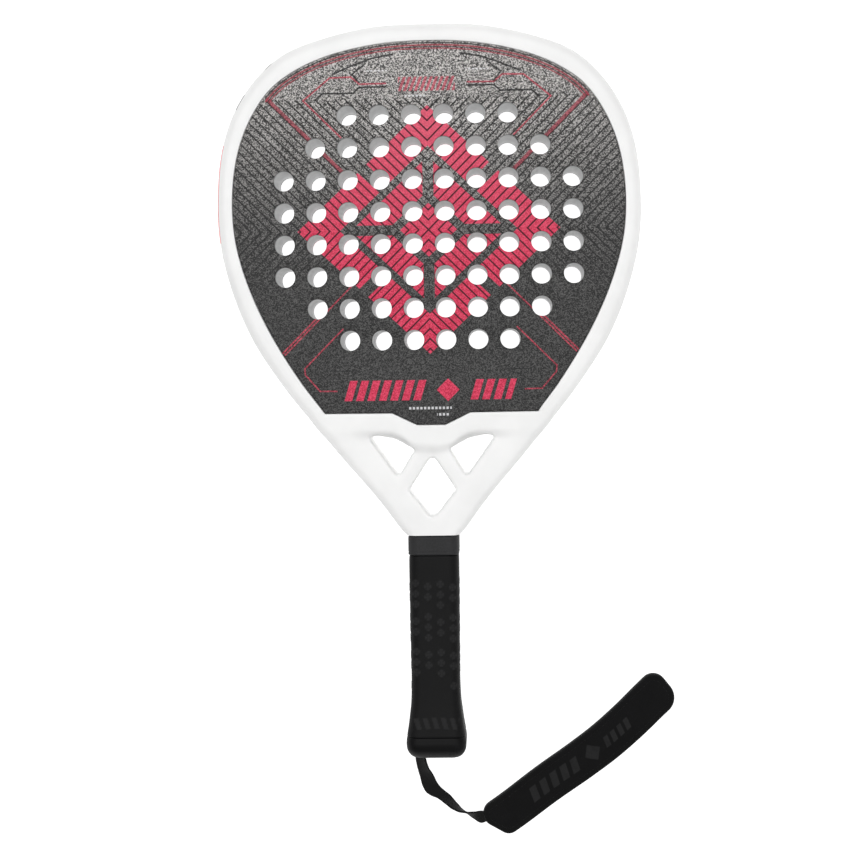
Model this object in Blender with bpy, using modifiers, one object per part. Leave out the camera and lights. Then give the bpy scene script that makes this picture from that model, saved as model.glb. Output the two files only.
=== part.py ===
"""Padel racket with a wrist strap, lying face up on its rear face.

Metres, +Z up.  +Y runs from the butt to the head tip, +X is the player's right
as seen on the front face, and the rear face lies on z = 0.  The racket is
centred on x = 0 and on the middle of its length.
"""

import math

import bpy
import numpy as np
from mathutils import Vector

MM = 0.001

# ---------------------------------------------------------------- dimensions
LENGTH = 455.0          # butt to head tip
THICK = 38.0            # rear face to front face
MID_Z = THICK / 2
GAP = 0.3               # clearance between touching solids
SKIN = 0.8              # laminate of each face
TUBE_WALL = 1.6         # wall of the moulded frame tube

HOLE_R = 6.2
HOLE_SIDES = 8
PITCH = 19.7
GRID_Y = 102.7
HOLES_IN_ROW = (6, 8, 10, 10, 10, 10, 8, 6)

# Half outline of the head, from the tip round to the throat: the inner wall of
# the frame tube (the edge of the face) and its outer wall, station by station.
HEAD = (
    ((0.0, 216.4), (0.0, 227.5)),
    ((31.0, 214.6), (33.0, 226.3)),
    ((61.0, 208.0), (65.0, 219.5)),
    ((82.4, 198.7), (88.0, 210.7)),
    ((97.0, 187.6), (104.3, 197.3)),
    ((109.0, 170.0), (118.5, 177.0)),
    ((117.0, 149.0), (127.0, 153.0)),
    ((120.6, 122.0), (130.4, 122.0)),
    ((119.0, 95.0), (129.0, 93.0)),
    ((111.0, 66.5), (121.2, 61.5)),
    ((97.5, 37.0), (109.0, 33.0)),
    ((79.3, 7.5), (90.4, 4.5)),
    ((68.2, -7.3), (81.0, -7.7)),
)
HEAD_STEPS = 2          # loft stations per head station
# The leg from the face's lower corner to the shoulder above the handle.
FACE_CORNER = (65.6, -11.0)
LEG = (
    (FACE_CORNER, (76.5, -13.3)),
    ((57.5, -11.3), (70.4, -21.3)),
    ((50.2, -11.3), (65.8, -26.5)),
    ((39.1, -25.7), (55.4, -39.0)),
    ((21.3, -50.3), (36.0, -61.9)),
    ((14.5, -58.9), (29.4, -70.3)),
    ((1.8, -74.4), (22.0, -80.5)),
    ((0.2, -76.6), (19.6, -83.6)),
    ((0.2, -83.6), (17.5, -85.7)),
    ((0.2, -87.0), (16.4, -87.0)),
)
NECK_HALF_THICK = 16.6  # half thickness of the leg at the shoulder
TAIL_IN, TAIL_OUT = 3.3, 10.7   # the leg's tail inside the handle
TAIL_HALF_THICK = 11.6
TAIL_END = -213.0

# Lower edge of the face, half, from its flat centre out to the corner.
FACE_FOOT = ((8.8, -18.6), (24.0, -11.2))

# Throat openings, right half.
BRIDGE_FOOT = ((38.8, -25.9), (32.6, -25.2), (22.9, -27.0), (15.2, -31.4), (11.3, -33.6))
STRUT_TOP = -33.9
DIAMOND_TOP = -37.4
STRUT_HALF_THICK = 15.0

# Handle stack: half width (x) and half thickness (z).
SHAFT = (12.3, 13.4)
SHAFT_WALL = 1.1
SHAFT_TOP, SHAFT_END = -87.4, -213.5
COLLAR = (15.8, 16.4)
COLLAR_TOP, COLLAR_END = -87.4, -99.3
GRIP_TOP = COLLAR_END - GAP
GRIP_END = -212.2
GRIP_SKIN = 1.2
# y, half width, half thickness of the grip's outer surface
GRIP = (
    (GRIP_TOP, 15.3, 15.9),
    (-130.0, 15.3, 15.9),
    (-160.0, 15.1, 15.7),
    (-178.0, 15.0, 15.6),
    (-192.0, 15.5, 16.0),
    (-198.0, 16.2, 16.5),
    (-205.0, 17.1, 17.1),
    (GRIP_END, 18.2, 17.8),
)
CUSHION = (13.5, 14.1)
CUSHION_END = -190.5
CAP_TOP = -191.0
CAP_END = -LENGTH / 2
CAP_FLANGE = (
    (GRIP_END - GAP, 18.3, 17.8),
    (-217.0, 18.7, 18.2),
    (-220.5, 18.3, 17.2),
    (-223.4, 17.0, 14.9),
    (-225.5, 15.2, 11.8),
    (-226.8, 12.8, 8.2),
    (CAP_END, 9.6, 4.4),
)
CAVITY_END = -221.6

# Wrist strap.
CORD_W, CORD_T = 9.5, 1.2
EXIT = (-10.9, -229.2, 12.0)    # the swing axis passes through this point
EXIT_ROLL = -48.0
ROUTE = (
    (-10.9, -229.5, 12.0),
    (-9.9, -237.0, 10.8),
    (-7.6, -244.0, 7.0),
    (-4.3, -250.4, 3.6),
    (1.2, -256.4, 4.4),
    (7.2, -261.2, 5.2),
    (13.6, -265.2, 5.5),
    (21.0, -267.8, 5.4),
    (28.2, -269.6, 4.8),
)
ROLL = (-48.0, -30.0, -10.0, 10.0, 46.0, 70.0, 90.0, 104.0, 122.0)
MOUTH = (28.5, -269.7, 3.95)    # the band turns about this point
BAND = (
    (33.8, -274.2),
    (46.9, -265.2),
    (69.0, -248.7),
    (90.2, -234.0),
    (106.5, -221.8),
    (122.1, -208.1),
    (134.0, -196.5),
    (144.6, -186.5),
)
BAND_HALF = (12.2, 13.0)        # half width at the near and the far end
BAND_T = 2.7
BAND_BASE = 0.3
BAND_SLIT = 1.9


# ------------------------------------------------------------------ helpers
def clear_scene():
    for obj in list(bpy.data.objects):
        bpy.data.objects.remove(obj, do_unlink=True)


def collection(name):
    made = bpy.data.collections.new(name)
    bpy.context.scene.collection.children.link(made)
    return made


def material(name, colour, roughness, metallic=0.0):
    made = bpy.data.materials.new(name)
    made.use_nodes = True
    shader = made.node_tree.nodes["Principled BSDF"]
    shader.inputs["Base Color"].default_value = (*colour, 1.0)
    shader.inputs["Roughness"].default_value = roughness
    shader.inputs["Metallic"].default_value = metallic
    return made


def add(name, data, coll, mat=None):
    obj = bpy.data.objects.new(name, data)
    coll.objects.link(obj)
    if mat is not None:
        data.materials.append(mat)
    return obj


def smooth(data, angle=35):
    data.shade_smooth()
    data.set_sharp_from_angle(angle=math.radians(angle))


def loft(name, rings, coll, mat=None, cyclic=False, capped=True):
    """Skin over rings of equal point count; the last ring joins the first when cyclic."""
    count = len(rings[0])
    verts = [Vector(p) * MM for ring in rings for p in ring]
    faces = []
    spans = len(rings) if cyclic else len(rings) - 1
    for i in range(spans):
        a, b = i * count, (i + 1) % len(rings) * count
        for k in range(count):
            m = (k + 1) % count
            faces.append((a + k, a + m, b + m, b + k))
    if capped and not cyclic:
        faces.append(tuple(range(count))[::-1])
        faces.append(tuple(range((len(rings) - 1) * count, len(rings) * count)))
    mesh = bpy.data.meshes.new(name)
    mesh.from_pydata(verts, [], faces)
    mesh.update()
    volume = sum(
        mesh.vertices[t.vertices[0]].co.dot(
            mesh.vertices[t.vertices[1]].co.cross(mesh.vertices[t.vertices[2]].co)
        )
        for t in triangles(mesh)
    )
    if volume < 0:
        mesh.flip_normals()
    smooth(mesh)
    return add(name, mesh, coll, mat)


def triangles(mesh):
    mesh.calc_loop_triangles()
    return mesh.loop_triangles


def plate(name, outlines, z0, z1, coll, mat):
    """Flat piece between two heights: the first outline is its edge, the others are holes."""
    curve = bpy.data.curves.new(name, "CURVE")
    curve.dimensions = "2D"
    curve.fill_mode = "BOTH"
    curve.extrude = (z1 - z0) / 2 * MM
    for outline in outlines:
        spline = curve.splines.new("POLY")
        spline.points.add(len(outline) - 1)
        for point, (x, y) in zip(spline.points, outline):
            point.co = (x * MM, y * MM, 0.0, 1.0)
        spline.use_cyclic_u = True
    obj = add(name, curve, coll, mat)
    obj.location.z = (z0 + z1) / 2 * MM
    return obj


def catmull(points, steps):
    """Points along a centripetal curve through the given points, ends included."""
    pts = [np.array(p, float) for p in points]
    ext = [2 * pts[0] - pts[1], *pts, 2 * pts[-1] - pts[-2]]
    out = []
    for i in range(1, len(ext) - 2):
        p = ext[i - 1 : i + 3]
        t = [0.0]
        for a, b in zip(p, p[1:]):
            t.append(t[-1] + max(np.linalg.norm(b - a), 1e-9) ** 0.5)
        for k in range(steps):
            u = t[1] + (t[2] - t[1]) * k / steps
            a1 = (t[1] - u) / (t[1] - t[0]) * p[0] + (u - t[0]) / (t[1] - t[0]) * p[1]
            a2 = (t[2] - u) / (t[2] - t[1]) * p[1] + (u - t[1]) / (t[2] - t[1]) * p[2]
            a3 = (t[3] - u) / (t[3] - t[2]) * p[2] + (u - t[2]) / (t[3] - t[2]) * p[3]
            b1 = (t[2] - u) / (t[2] - t[0]) * a1 + (u - t[0]) / (t[2] - t[0]) * a2
            b2 = (t[3] - u) / (t[3] - t[1]) * a2 + (u - t[1]) / (t[3] - t[1]) * a3
            out.append((t[2] - u) / (t[2] - t[1]) * b1 + (u - t[1]) / (t[2] - t[1]) * b2)
    out.append(pts[-1])
    return out


def mirrored(points, steps):
    """Like catmull, for a half curve whose first point lies on x = 0 and is level there."""
    first = np.array(points[1], float)
    ghost = np.array([-first[0], first[1]])
    return catmull([ghost, *points], steps)[steps:]


def inset(outline, by):
    """A closed outline (counter-clockwise) moved inwards by a distance."""
    pts = np.array(outline, float)
    d = np.roll(pts, -1, axis=0) - pts
    d /= np.linalg.norm(d, axis=1)[:, None]
    n = np.stack([-d[:, 1], d[:, 0]], axis=1)
    before = np.roll(n, 1, axis=0)
    m = n + before
    m /= (m * n).sum(1)[:, None]
    return [tuple(p) for p in pts + by * m]


def oval(y, a, b, corner=0.42, sides=5):
    """Handle section at y: a rounded rectangle of half width a and half thickness b."""
    r = corner * min(a, b) * 2 * 0.5
    ring = []
    for cx, cz, start in ((1, 1, 0), (-1, 1, 90), (-1, -1, 180), (1, -1, 270)):
        for k in range(sides):
            t = math.radians(start + 90 * k / (sides - 1))
            ring.append(
                (cx * (a - r) + r * math.cos(t), y, MID_Z + cz * (b - r) + r * math.sin(t))
            )
    return ring


def sleeve(name, outer, inner, coll, mat):
    """Open sleeve: stations (y, half width, half thickness) down the outside, then up the inside."""
    rings = [oval(*s) for s in outer] + [oval(*s) for s in reversed(inner)]
    return loft(name, rings, coll, mat, cyclic=True)


def cutter_cylinder(name, radius, depth, centre, axis, coll):
    bpy.ops.mesh.primitive_cylinder_add(vertices=12, radius=radius * MM, depth=depth * MM)
    obj = bpy.context.object
    obj.name = name
    obj.location = Vector(centre) * MM
    obj.rotation_euler = Vector(axis).to_track_quat("Z", "Y").to_euler()
    rehome(obj, coll)
    return obj


def rehome(obj, coll):
    for old in list(obj.users_collection):
        old.objects.unlink(obj)
    coll.objects.link(obj)


def cut(obj, cutter):
    cutter.hide_render = True
    cutter.display_type = "WIRE"
    modifier = obj.modifiers.new("cut_" + cutter.name, "BOOLEAN")
    modifier.operation = "DIFFERENCE"
    modifier.object = cutter
    return modifier


# -------------------------------------------------------------- frame pieces
def tube_section(inner, outer, half, inner_r, outer_r, wall=0.0):
    """Ring of the frame tube in the upright plane through an inner and an outer point."""
    i, o = np.array(inner, float), np.array(outer, float)
    width = np.linalg.norm(o - i)
    d = (o - i) / width
    z0, z1 = MID_Z - half + wall, MID_Z + half - wall
    ri, ro = max(inner_r - wall, 0.4), max(outer_r - wall, 0.4)
    lo, hi = wall, width - wall
    k = 0.29
    profile = (
        (lo + ri, z0), (hi - ro, z0), (hi - k * ro, z0 + k * ro), (hi, z0 + ro),
        (hi, z1 - ro), (hi - k * ro, z1 - k * ro), (hi - ro, z1), (lo + ri, z1),
        (lo, z1 - ri), (lo, z0 + ri),
    )
    return [(i[0] + d[0] * u, i[1] + d[1] * u, z) for u, z in profile]


def head_curves(steps):
    return (
        mirrored([pair[0] for pair in HEAD], steps),
        mirrored([pair[1] for pair in HEAD], steps),
    )


def frame_hoop(coll, mat):
    inner, outer = head_curves(HEAD_STEPS)
    stations = [(i, o, MID_Z - 0.1, 0.5, 6.5) for i, o in zip(inner, outer)]
    run = len(LEG)
    for n, (i, o) in enumerate(LEG):
        t = max(0.0, (n - 2) / (run - 3))
        half = (MID_Z - 0.1) * (1 - t) + NECK_HALF_THICK * t
        stations.append((i, o, half, 0.5 + 1.5 * min(1.0, n / 4), 6.5 - 1.5 * t))
    rings = [tube_section(*s) for s in stations]
    tail = [((TAIL_IN, y), (TAIL_OUT, y), TAIL_HALF_THICK, 0.8, 2.4) for y in (-87.1, TAIL_END)]
    rings += [tube_section(*s) for s in tail]
    # The bore narrows to the tail's bore before the shoulder.
    bore = [tube_section(*s, wall=TUBE_WALL) for s in stations[:-3]]
    bore += [
        tube_section((TAIL_IN, y), (TAIL_OUT, y), TAIL_HALF_THICK, 0.8, 2.4, wall=TUBE_WALL)
        for y in (-83.0, -87.1, TAIL_END)
    ]
    obj = loft("frame_hoop", rings + bore[::-1], coll, mat, capped=False)
    mirror = obj.modifiers.new("mirror", "MIRROR")
    mirror.use_axis = (True, False, False)
    mirror.use_clip = True
    mirror.merge_threshold = 0.00005
    return obj


def face_outline():
    """Closed outline of the head opening, counter-clockwise."""
    inner, _ = head_curves(HEAD_STEPS)
    right = [tuple(p) for p in inner[1:]] + [FACE_CORNER, *FACE_FOOT[::-1]]
    right = right[::-1]
    left = [(-x, y) for x, y in right[::-1]]
    return [*right, (0.0, HEAD[0][0][1]), *left]


def hole_centres():
    rows = len(HOLES_IN_ROW)
    for r, count in enumerate(HOLES_IN_ROW):
        y = GRID_Y + ((rows - 1) / 2 - r) * PITCH
        for c in range(count):
            yield ((c - (count - 1) / 2) * PITCH, y)


def circle(x, y, radius, sides):
    grow = math.sqrt(2 * math.pi / (sides * math.sin(2 * math.pi / sides)))
    return [
        (
            x + radius * grow * math.cos(2 * math.pi * (k + 0.5) / sides),
            y + radius * grow * math.sin(2 * math.pi * (k + 0.5) / sides),
        )
        for k in range(sides)
    ]


def head_plates(coll, mats):
    edge = inset(face_outline(), GAP)
    holes = [circle(x, y, HOLE_R, HOLE_SIDES) for x, y in hole_centres()]
    plate("eva_core", [edge, *holes], SKIN + GAP, THICK - SKIN - GAP, coll, mats["core"])
    plate("front_face", [edge, *holes], THICK - SKIN, THICK, coll, mats["face"])
    plate("rear_face", [edge, *holes], 0.0, SKIN, coll, mats["face"])


def throat(coll, mats):
    leg_in = [np.array(pair[0], float) for pair in LEG]
    d = leg_in[3] - leg_in[2]
    d /= np.linalg.norm(d)
    off = np.array([d[1], -d[0]]) * (GAP + 0.05)
    top = leg_in[2] + off - d * 0.2
    top[1] = FACE_CORNER[1] - 0.6
    foot = leg_in[3] + off
    right = [
        (8.9, FACE_FOOT[0][1] - GAP),
        (24.1, FACE_FOOT[1][1] - GAP - 0.1),
        (top[0] - 0.3, top[1]),
        tuple(foot),
        *BRIDGE_FOOT[1:],
    ]
    left = [(-x, y) for x, y in right[::-1]]
    plate("throat_bridge", [[*right, *left]], THICK - 37.7, 37.7, coll, mats["frame"])

    d = leg_in[5] - leg_in[4]
    d /= np.linalg.norm(d)
    off = np.array([d[1], -d[0]]) * (GAP + 0.05)
    a, b = leg_in[4] + off, leg_in[5] + off
    strut = [(0.2, STRUT_TOP), (11.2, STRUT_TOP), tuple(a), tuple(b), (1.8, DIAMOND_TOP - 2.3), (0.2, DIAMOND_TOP)]
    z0, z1 = MID_Z - STRUT_HALF_THICK, MID_Z + STRUT_HALF_THICK
    plate("throat_strut_right", [strut], z0, z1, coll, mats["frame"])
    plate("throat_strut_left", [[(-x, y) for x, y in strut[::-1]]], z0, z1, coll, mats["frame"])


# ------------------------------------------------------------- handle pieces
def handle(coll, tools, mats):
    a, b = SHAFT
    wall = SHAFT_WALL
    shaft = sleeve(
        "handle_shaft",
        [(SHAFT_TOP, a, b, 0.3), (SHAFT_END, a, b, 0.3)],
        [(SHAFT_TOP, a - wall, b - wall, 0.24), (SHAFT_END, a - wall, b - wall, 0.24)],
        coll,
        mats["shaft"],
    )
    bpy.ops.mesh.primitive_cube_add(size=1)
    filler = bpy.context.object
    filler.name = "handle_filler"
    filler.data.transform(
        scaling((TAIL_IN - GAP) * 2 * MM, (TAIL_END + 89.0) * -MM, 22.8 * MM)
    )
    filler.location = (0, (TAIL_END - 89.0) / 2 * MM, MID_Z * MM)
    filler.data.materials.append(mats["filler"])
    rehome(filler, coll)
    bevel = filler.modifiers.new("round", "BEVEL")
    bevel.width = 0.8 * MM
    bevel.segments = 1

    ca, cb = COLLAR
    sleeve(
        "grip_collar",
        [(COLLAR_TOP, ca - 0.5, cb - 0.5), (COLLAR_TOP - 0.8, ca, cb), (COLLAR_END + 0.8, ca, cb), (COLLAR_END, ca - 0.5, cb - 0.5)],
        [(COLLAR_TOP, a + GAP, b + GAP, 0.3), (COLLAR_END, a + GAP, b + GAP, 0.3)],
        coll,
        mats["collar"],
    )
    sleeve(
        "cushion_grip",
        [(GRIP_TOP, *CUSHION), (CUSHION_END, *CUSHION)],
        [(GRIP_TOP, a + GAP, b + GAP, 0.3), (CUSHION_END, a + GAP, b + GAP, 0.3)],
        coll,
        mats["cushion"],
    )
    sleeve(
        "outer_grip",
        GRIP,
        [(y, w - GRIP_SKIN, h - GRIP_SKIN) for y, w, h in GRIP],
        coll,
        mats["grip"],
    )
    # Butt cap: a socket over the shaft's end, a chamber for the cord's knot and a closed end.
    under = [(y, w - GRIP_SKIN - GAP, h - GRIP_SKIN - GAP) for y, w, h in GRIP[4:]]
    under[0] = (CAP_TOP, GRIP[4][1] - GRIP_SKIN - GAP - 0.1, GRIP[4][2] - GRIP_SKIN - GAP - 0.1)
    inside = [
        (CAVITY_END, 14.8, 13.0),
        (SHAFT_END - 2.5, 15.6, 14.8),
        (SHAFT_END - GAP, a + GAP, b + GAP, 0.3),
        (CAP_TOP, a + GAP, b + GAP, 0.3),
    ]
    rings = [oval(*s) for s in inside] + [oval(*s) for s in under] + [oval(*s) for s in CAP_FLANGE]
    cap = loft("butt_cap", rings, coll, mats["cap"])
    x, _, z = EXIT
    bpy.ops.mesh.primitive_cube_add(size=1)
    slot = bpy.context.object
    slot.name = "cord_slot"
    slot.data.transform(scaling((CORD_W + 1.4) * MM, 12.0 * MM, (CORD_T + 1.2) * MM))
    slot.location = (x * MM, -225.0 * MM, z * MM)
    slot.rotation_euler = (0, math.radians(EXIT_ROLL), 0)
    rehome(slot, tools)
    cut(cap, slot)

    # Two tacks through the cap's socket into the shaft.
    for side, word in ((1, "right"), (-1, "left")):
        bpy.ops.mesh.primitive_cone_add(
            vertices=10, radius1=0.35 * MM, radius2=0.8 * MM, depth=2.6 * MM
        )
        tack = bpy.context.object
        tack.name = "cap_tack_" + word
        tack.location = (side * 12.75 * MM, -199.0 * MM, MID_Z * MM)
        tack.rotation_euler = Vector((side, 0, 0)).to_track_quat("Z", "Y").to_euler()
        tack.data.materials.append(mats["steel"])
        rehome(tack, coll)
        hole = cutter_cylinder(
            "tack_hole_" + word, 1.15, 6.4, (side * 13.6, -199.0, MID_Z), (side, 0, 0), tools
        )
        cut(cap, hole)
        cut(shaft, hole)


def scaling(x, y, z):
    from mathutils import Matrix

    return Matrix.Diagonal((x, y, z, 1.0))


# --------------------------------------------------------------- wrist strap
def ribbon_ring(centre, along, roll, half_w, half_t):
    """Flat section across a run; roll turns it about the run from lying flat."""
    t = Vector(along).normalized()
    side = Vector((0, 0, 1)).cross(t).normalized() * -1
    up = side.cross(t)
    c, s = math.cos(math.radians(roll)), math.sin(math.radians(roll))
    return flat_ring(centre, side * c + up * s, up * c - side * s, half_w, half_t)


def flat_ring(centre, wide, thin, half_w, half_t):
    edge = min(half_t, half_w * 0.5)
    profile = (
        (half_w, 0), (half_w - edge, half_t), (-half_w + edge, half_t),
        (-half_w, 0), (-half_w + edge, -half_t), (half_w - edge, -half_t),
    )
    return [tuple(Vector(centre) + wide * u + thin * v) for u, v in profile]


def tangents(points):
    return np.gradient(np.array(points, float), axis=0)


def wrist_strap(coll, mats):
    steps = 3
    line = catmull(ROUTE, steps)
    rolls = [r[0] for r in catmull([(r, 0.0) for r in ROLL], steps)]
    rings = [
        ribbon_ring(p, t, r, CORD_W / 2, CORD_T / 2)
        for p, t, r in zip(line[2:], tangents(line)[2:], rolls[2:])
    ]
    # A narrow neck next to the swing axis lets the ribbon turn clear of its root.
    away, (x, y, z) = line[1] - line[0], EXIT
    away /= np.linalg.norm(away)
    neck = [
        ribbon_ring(line[0] + away * run, away, EXIT_ROLL, half, thin)
        for run, half, thin in ((0.7, 0.7, 0.3), (2.2, 0.9, 0.4), (3.9, CORD_W / 2, CORD_T / 2))
    ]
    cord = loft("wrist_cord", neck + rings, coll, mats["cord"])

    # The cord's fixed root: through the cap's slot to a sewn knot in the chamber.
    down = (0, -1, 0)
    root = [
        ribbon_ring((x, y + 0.1, z), down, EXIT_ROLL, 0.7, 0.3),
        ribbon_ring((x, y + 1.2, z), down, EXIT_ROLL, CORD_W / 2, CORD_T / 2),
        ribbon_ring((x, CAVITY_END + 0.9, z), down, EXIT_ROLL, CORD_W / 2, CORD_T / 2),
        ribbon_ring((x + 1.2, CAVITY_END + 1.3, z), down, EXIT_ROLL, 4.6, 2.6),
        ribbon_ring((x + 1.2, CAVITY_END + 5.6, z), down, EXIT_ROLL, 4.6, 2.6),
    ]
    loft("cord_root", root, coll, mats["cord"])

    # The band: one padded strip, folded in half at the far end.
    centre = catmull(BAND, 2)
    run = np.concatenate([[0], np.cumsum(np.linalg.norm(np.diff(centre, axis=0), axis=1))])
    total = run[-1]
    round_in = 9.0

    def half_width(s):
        full = BAND_HALF[0] + (BAND_HALF[1] - BAND_HALF[0]) * s / total
        d = min(s, total - s)
        reach = round_in if s < total / 2 else round_in + 3.0
        if d >= reach:
            return full
        return full * (0.42 + 0.58 * (1 - (1 - d / reach) ** 2.4) ** (1 / 2.4))

    def at(s):
        return np.array([np.interp(s, run, [p[k] for p in centre]) for k in (0, 1)])

    spots = [0.0, 1.2, 3.0, 5.5, 9.0]
    spots += list(np.linspace(9.0, total - 9.0, 12)[1:-1])
    spots += [total - 9.0, total - 5.5, total - 3.4]
    lower, upper = BAND_BASE + BAND_T / 2, BAND_BASE + BAND_T * 1.5 + BAND_SLIT
    mid, fold_r = (lower + upper) / 2, (upper - lower) / 2
    rings = []

    def leaf(s, z, outward):
        q = at(min(s + 0.5, total)) - at(max(s - 0.5, 0.0))
        q /= np.linalg.norm(q)
        return flat_ring(
            (*at(s), z), Vector((-q[1], q[0], 0)), Vector((0, 0, outward)), half_width(s), BAND_T / 2
        )

    rings += [leaf(s, lower, -1) for s in spots]
    end, q = at(total - 3.4), at(total - 3.0) - at(total - 4.0)
    q /= np.linalg.norm(q)
    for angle in (-60, -30, 0, 30, 60):
        t = math.radians(angle)
        out = Vector((q[0] * math.cos(t), q[1] * math.cos(t), math.sin(t)))
        rings.append(
            flat_ring(
                Vector((*end, mid)) + out * fold_r,
                Vector((-q[1], q[0], 0)),
                out,
                half_width(total - 2.4),
                BAND_T / 2,
            )
        )
    rings += [leaf(s, upper, 1) for s in reversed(spots)]
    band = loft("wrist_band", rings, coll, mats["band"])

    # The end of the cord, sewn between the two leaves of the band.
    axis = np.array([0.80, 0.60])
    start = np.array(MOUTH[:2]) + axis * 6.2
    tab = [
        ribbon_ring((*(start + axis * s), mid), (*axis, 0), 0, CORD_W / 2, CORD_T / 2)
        for s in (0.0, 13.0)
    ]
    sewn = loft("cord_tab", tab, coll, mats["cord"])
    return cord, band, sewn


def on_axis(name, pos, pieces, coll):
    """An empty on a joint's axis that carries the pieces turning about it."""
    empty = bpy.data.objects.new(name, None)
    coll.objects.link(empty)
    empty.location = Vector(pos) * MM
    bpy.context.view_layer.update()
    for piece in pieces:
        piece.parent = empty
        piece.matrix_parent_inverse = empty.matrix_world.inverted()
    return empty


def main():
    clear_scene()
    coll = collection("padel_racket")
    tools = collection("cutters")
    mats = {
        "frame": material("frame_white", (0.86, 0.86, 0.85), 0.28),
        "face": material("face_charcoal", (0.035, 0.035, 0.038), 0.75),
        "core": material("eva_foam", (0.55, 0.55, 0.56), 0.9),
        "shaft": material("laminate", (0.08, 0.08, 0.085), 0.5),
        "filler": material("pu_foam", (0.75, 0.68, 0.5), 0.95),
        "collar": material("collar_rubber", (0.03, 0.03, 0.032), 0.6),
        "cushion": material("cushion_foam", (0.05, 0.05, 0.05), 0.85),
        "grip": material("grip_black", (0.012, 0.012, 0.013), 0.7),
        "cap": material("cap_black", (0.015, 0.015, 0.016), 0.5),
        "steel": material("tack_steel", (0.6, 0.6, 0.62), 0.3, 1.0),
        "cord": material("cord_black", (0.012, 0.012, 0.012), 0.9),
        "band": material("band_black", (0.01, 0.01, 0.011), 0.9),
    }
    frame_hoop(coll, mats["frame"])
    head_plates(coll, mats)
    throat(coll, mats)
    handle(coll, tools, mats)
    cord, band, sewn = wrist_strap(coll, mats)
    swing = on_axis("strap_swing_axis", EXIT, [cord], coll)
    turn = on_axis("band_turn_axis", MOUTH, [band, sewn], coll)
    turn.parent = swing
    turn.matrix_parent_inverse = swing.matrix_world.inverted()


main()
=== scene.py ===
"""Looks of the padel racket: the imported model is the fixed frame, and everything here is built round it.

Work units are millimetres (MM turns them into metres); +Y runs from butt to head tip, the rear face lies on z = 0.
"""

import math

import bpy
import numpy as np
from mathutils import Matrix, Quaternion, Vector, geometry, kdtree


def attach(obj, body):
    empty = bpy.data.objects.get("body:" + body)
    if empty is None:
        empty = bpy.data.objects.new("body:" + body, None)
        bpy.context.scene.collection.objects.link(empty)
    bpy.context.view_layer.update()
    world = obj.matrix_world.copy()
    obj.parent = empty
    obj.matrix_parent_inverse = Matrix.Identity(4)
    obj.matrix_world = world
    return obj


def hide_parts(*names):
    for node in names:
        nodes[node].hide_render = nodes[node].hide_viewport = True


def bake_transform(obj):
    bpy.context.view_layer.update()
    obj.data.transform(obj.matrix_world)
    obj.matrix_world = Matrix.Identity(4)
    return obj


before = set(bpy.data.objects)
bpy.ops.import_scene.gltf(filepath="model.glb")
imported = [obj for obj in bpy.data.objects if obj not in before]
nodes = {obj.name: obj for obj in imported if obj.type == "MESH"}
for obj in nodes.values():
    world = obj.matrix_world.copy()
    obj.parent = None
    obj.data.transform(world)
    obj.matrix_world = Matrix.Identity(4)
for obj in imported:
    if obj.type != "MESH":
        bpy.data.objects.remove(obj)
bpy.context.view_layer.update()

MM = 0.001
THICK = 38.0
MID_Z = 19.0

# Numbers of the design, in millimetres, as the CAD source has them.
HEAD = (
    ((0.0, 216.4), (0.0, 227.5)),
    ((31.0, 214.6), (33.0, 226.3)),
    ((61.0, 208.0), (65.0, 219.5)),
    ((82.4, 198.7), (88.0, 210.7)),
    ((97.0, 187.6), (104.3, 197.3)),
    ((109.0, 170.0), (118.5, 177.0)),
    ((117.0, 149.0), (127.0, 153.0)),
    ((120.6, 122.0), (130.4, 122.0)),
    ((119.0, 95.0), (129.0, 93.0)),
    ((111.0, 66.5), (121.2, 61.5)),
    ((97.5, 37.0), (109.0, 33.0)),
    ((79.3, 7.5), (90.4, 4.5)),
    ((68.2, -7.3), (81.0, -7.7)),
)
FACE_CORNER = (65.6, -11.0)
FACE_FOOT = ((8.8, -18.6), (24.0, -11.2))
LEG_OUT = (
    (76.5, -13.3), (70.4, -21.3), (65.8, -26.5), (55.4, -39.0), (36.0, -61.9),
    (29.4, -70.3), (22.0, -80.5), (19.6, -83.6), (17.5, -85.7), (16.4, -87.0),
)
HOLE_R, PITCH, GRID_Y = 6.2, 19.7, 102.7
HOLES_IN_ROW = (6, 8, 10, 10, 10, 10, 8, 6)
TAPE = (  # the tape's course: its middle, and the reach from there to its left edge
    (-10.9, -223.4, 12.0, -3.2, 0.0, -3.5),
    (-10.9, -229.4, 12.0, -3.2, 0.0, -3.5),
    (-9.5, -236.4, 10.9, -3.6, -0.7, -3.0),
    (-7.3, -242.3, 8.6, -4.3, -0.8, -1.9),
    (-5.5, -248.0, 6.4, -5.0, -0.7, -0.7),
    (-3.1, -252.2, 5.2, -5.0, -1.2, 0.5),
    (0.2, -254.9, 4.8, -4.8, -1.1, 0.9),
    (3.2, -256.6, 5.0, -4.4, -0.4, 1.6),
    (6.5, -259.5, 5.2, -3.2, -0.1, 3.4),
    (9.9, -262.7, 5.3, -2.1, 0.0, 4.1),
    (13.7, -265.5, 5.4, -1.1, 0.5, 4.5),
    (17.4, -266.9, 5.3, -0.2, 1.2, 4.5),
    (22.4, -268.6, 5.2, 0.3, 2.9, 3.6),
    (27.3, -269.7, 5.15, 0.2, 4.1, 1.0),
    (31.0, -269.3, 5.1, -0.4, 2.8, 0.1),
)
CORD_W = 9.5
BAND = (
    (33.8, -274.2), (46.9, -265.2), (69.0, -248.7), (90.2, -234.0),
    (106.5, -221.8), (122.1, -208.1), (134.0, -196.5), (144.6, -186.5),
)


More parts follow.
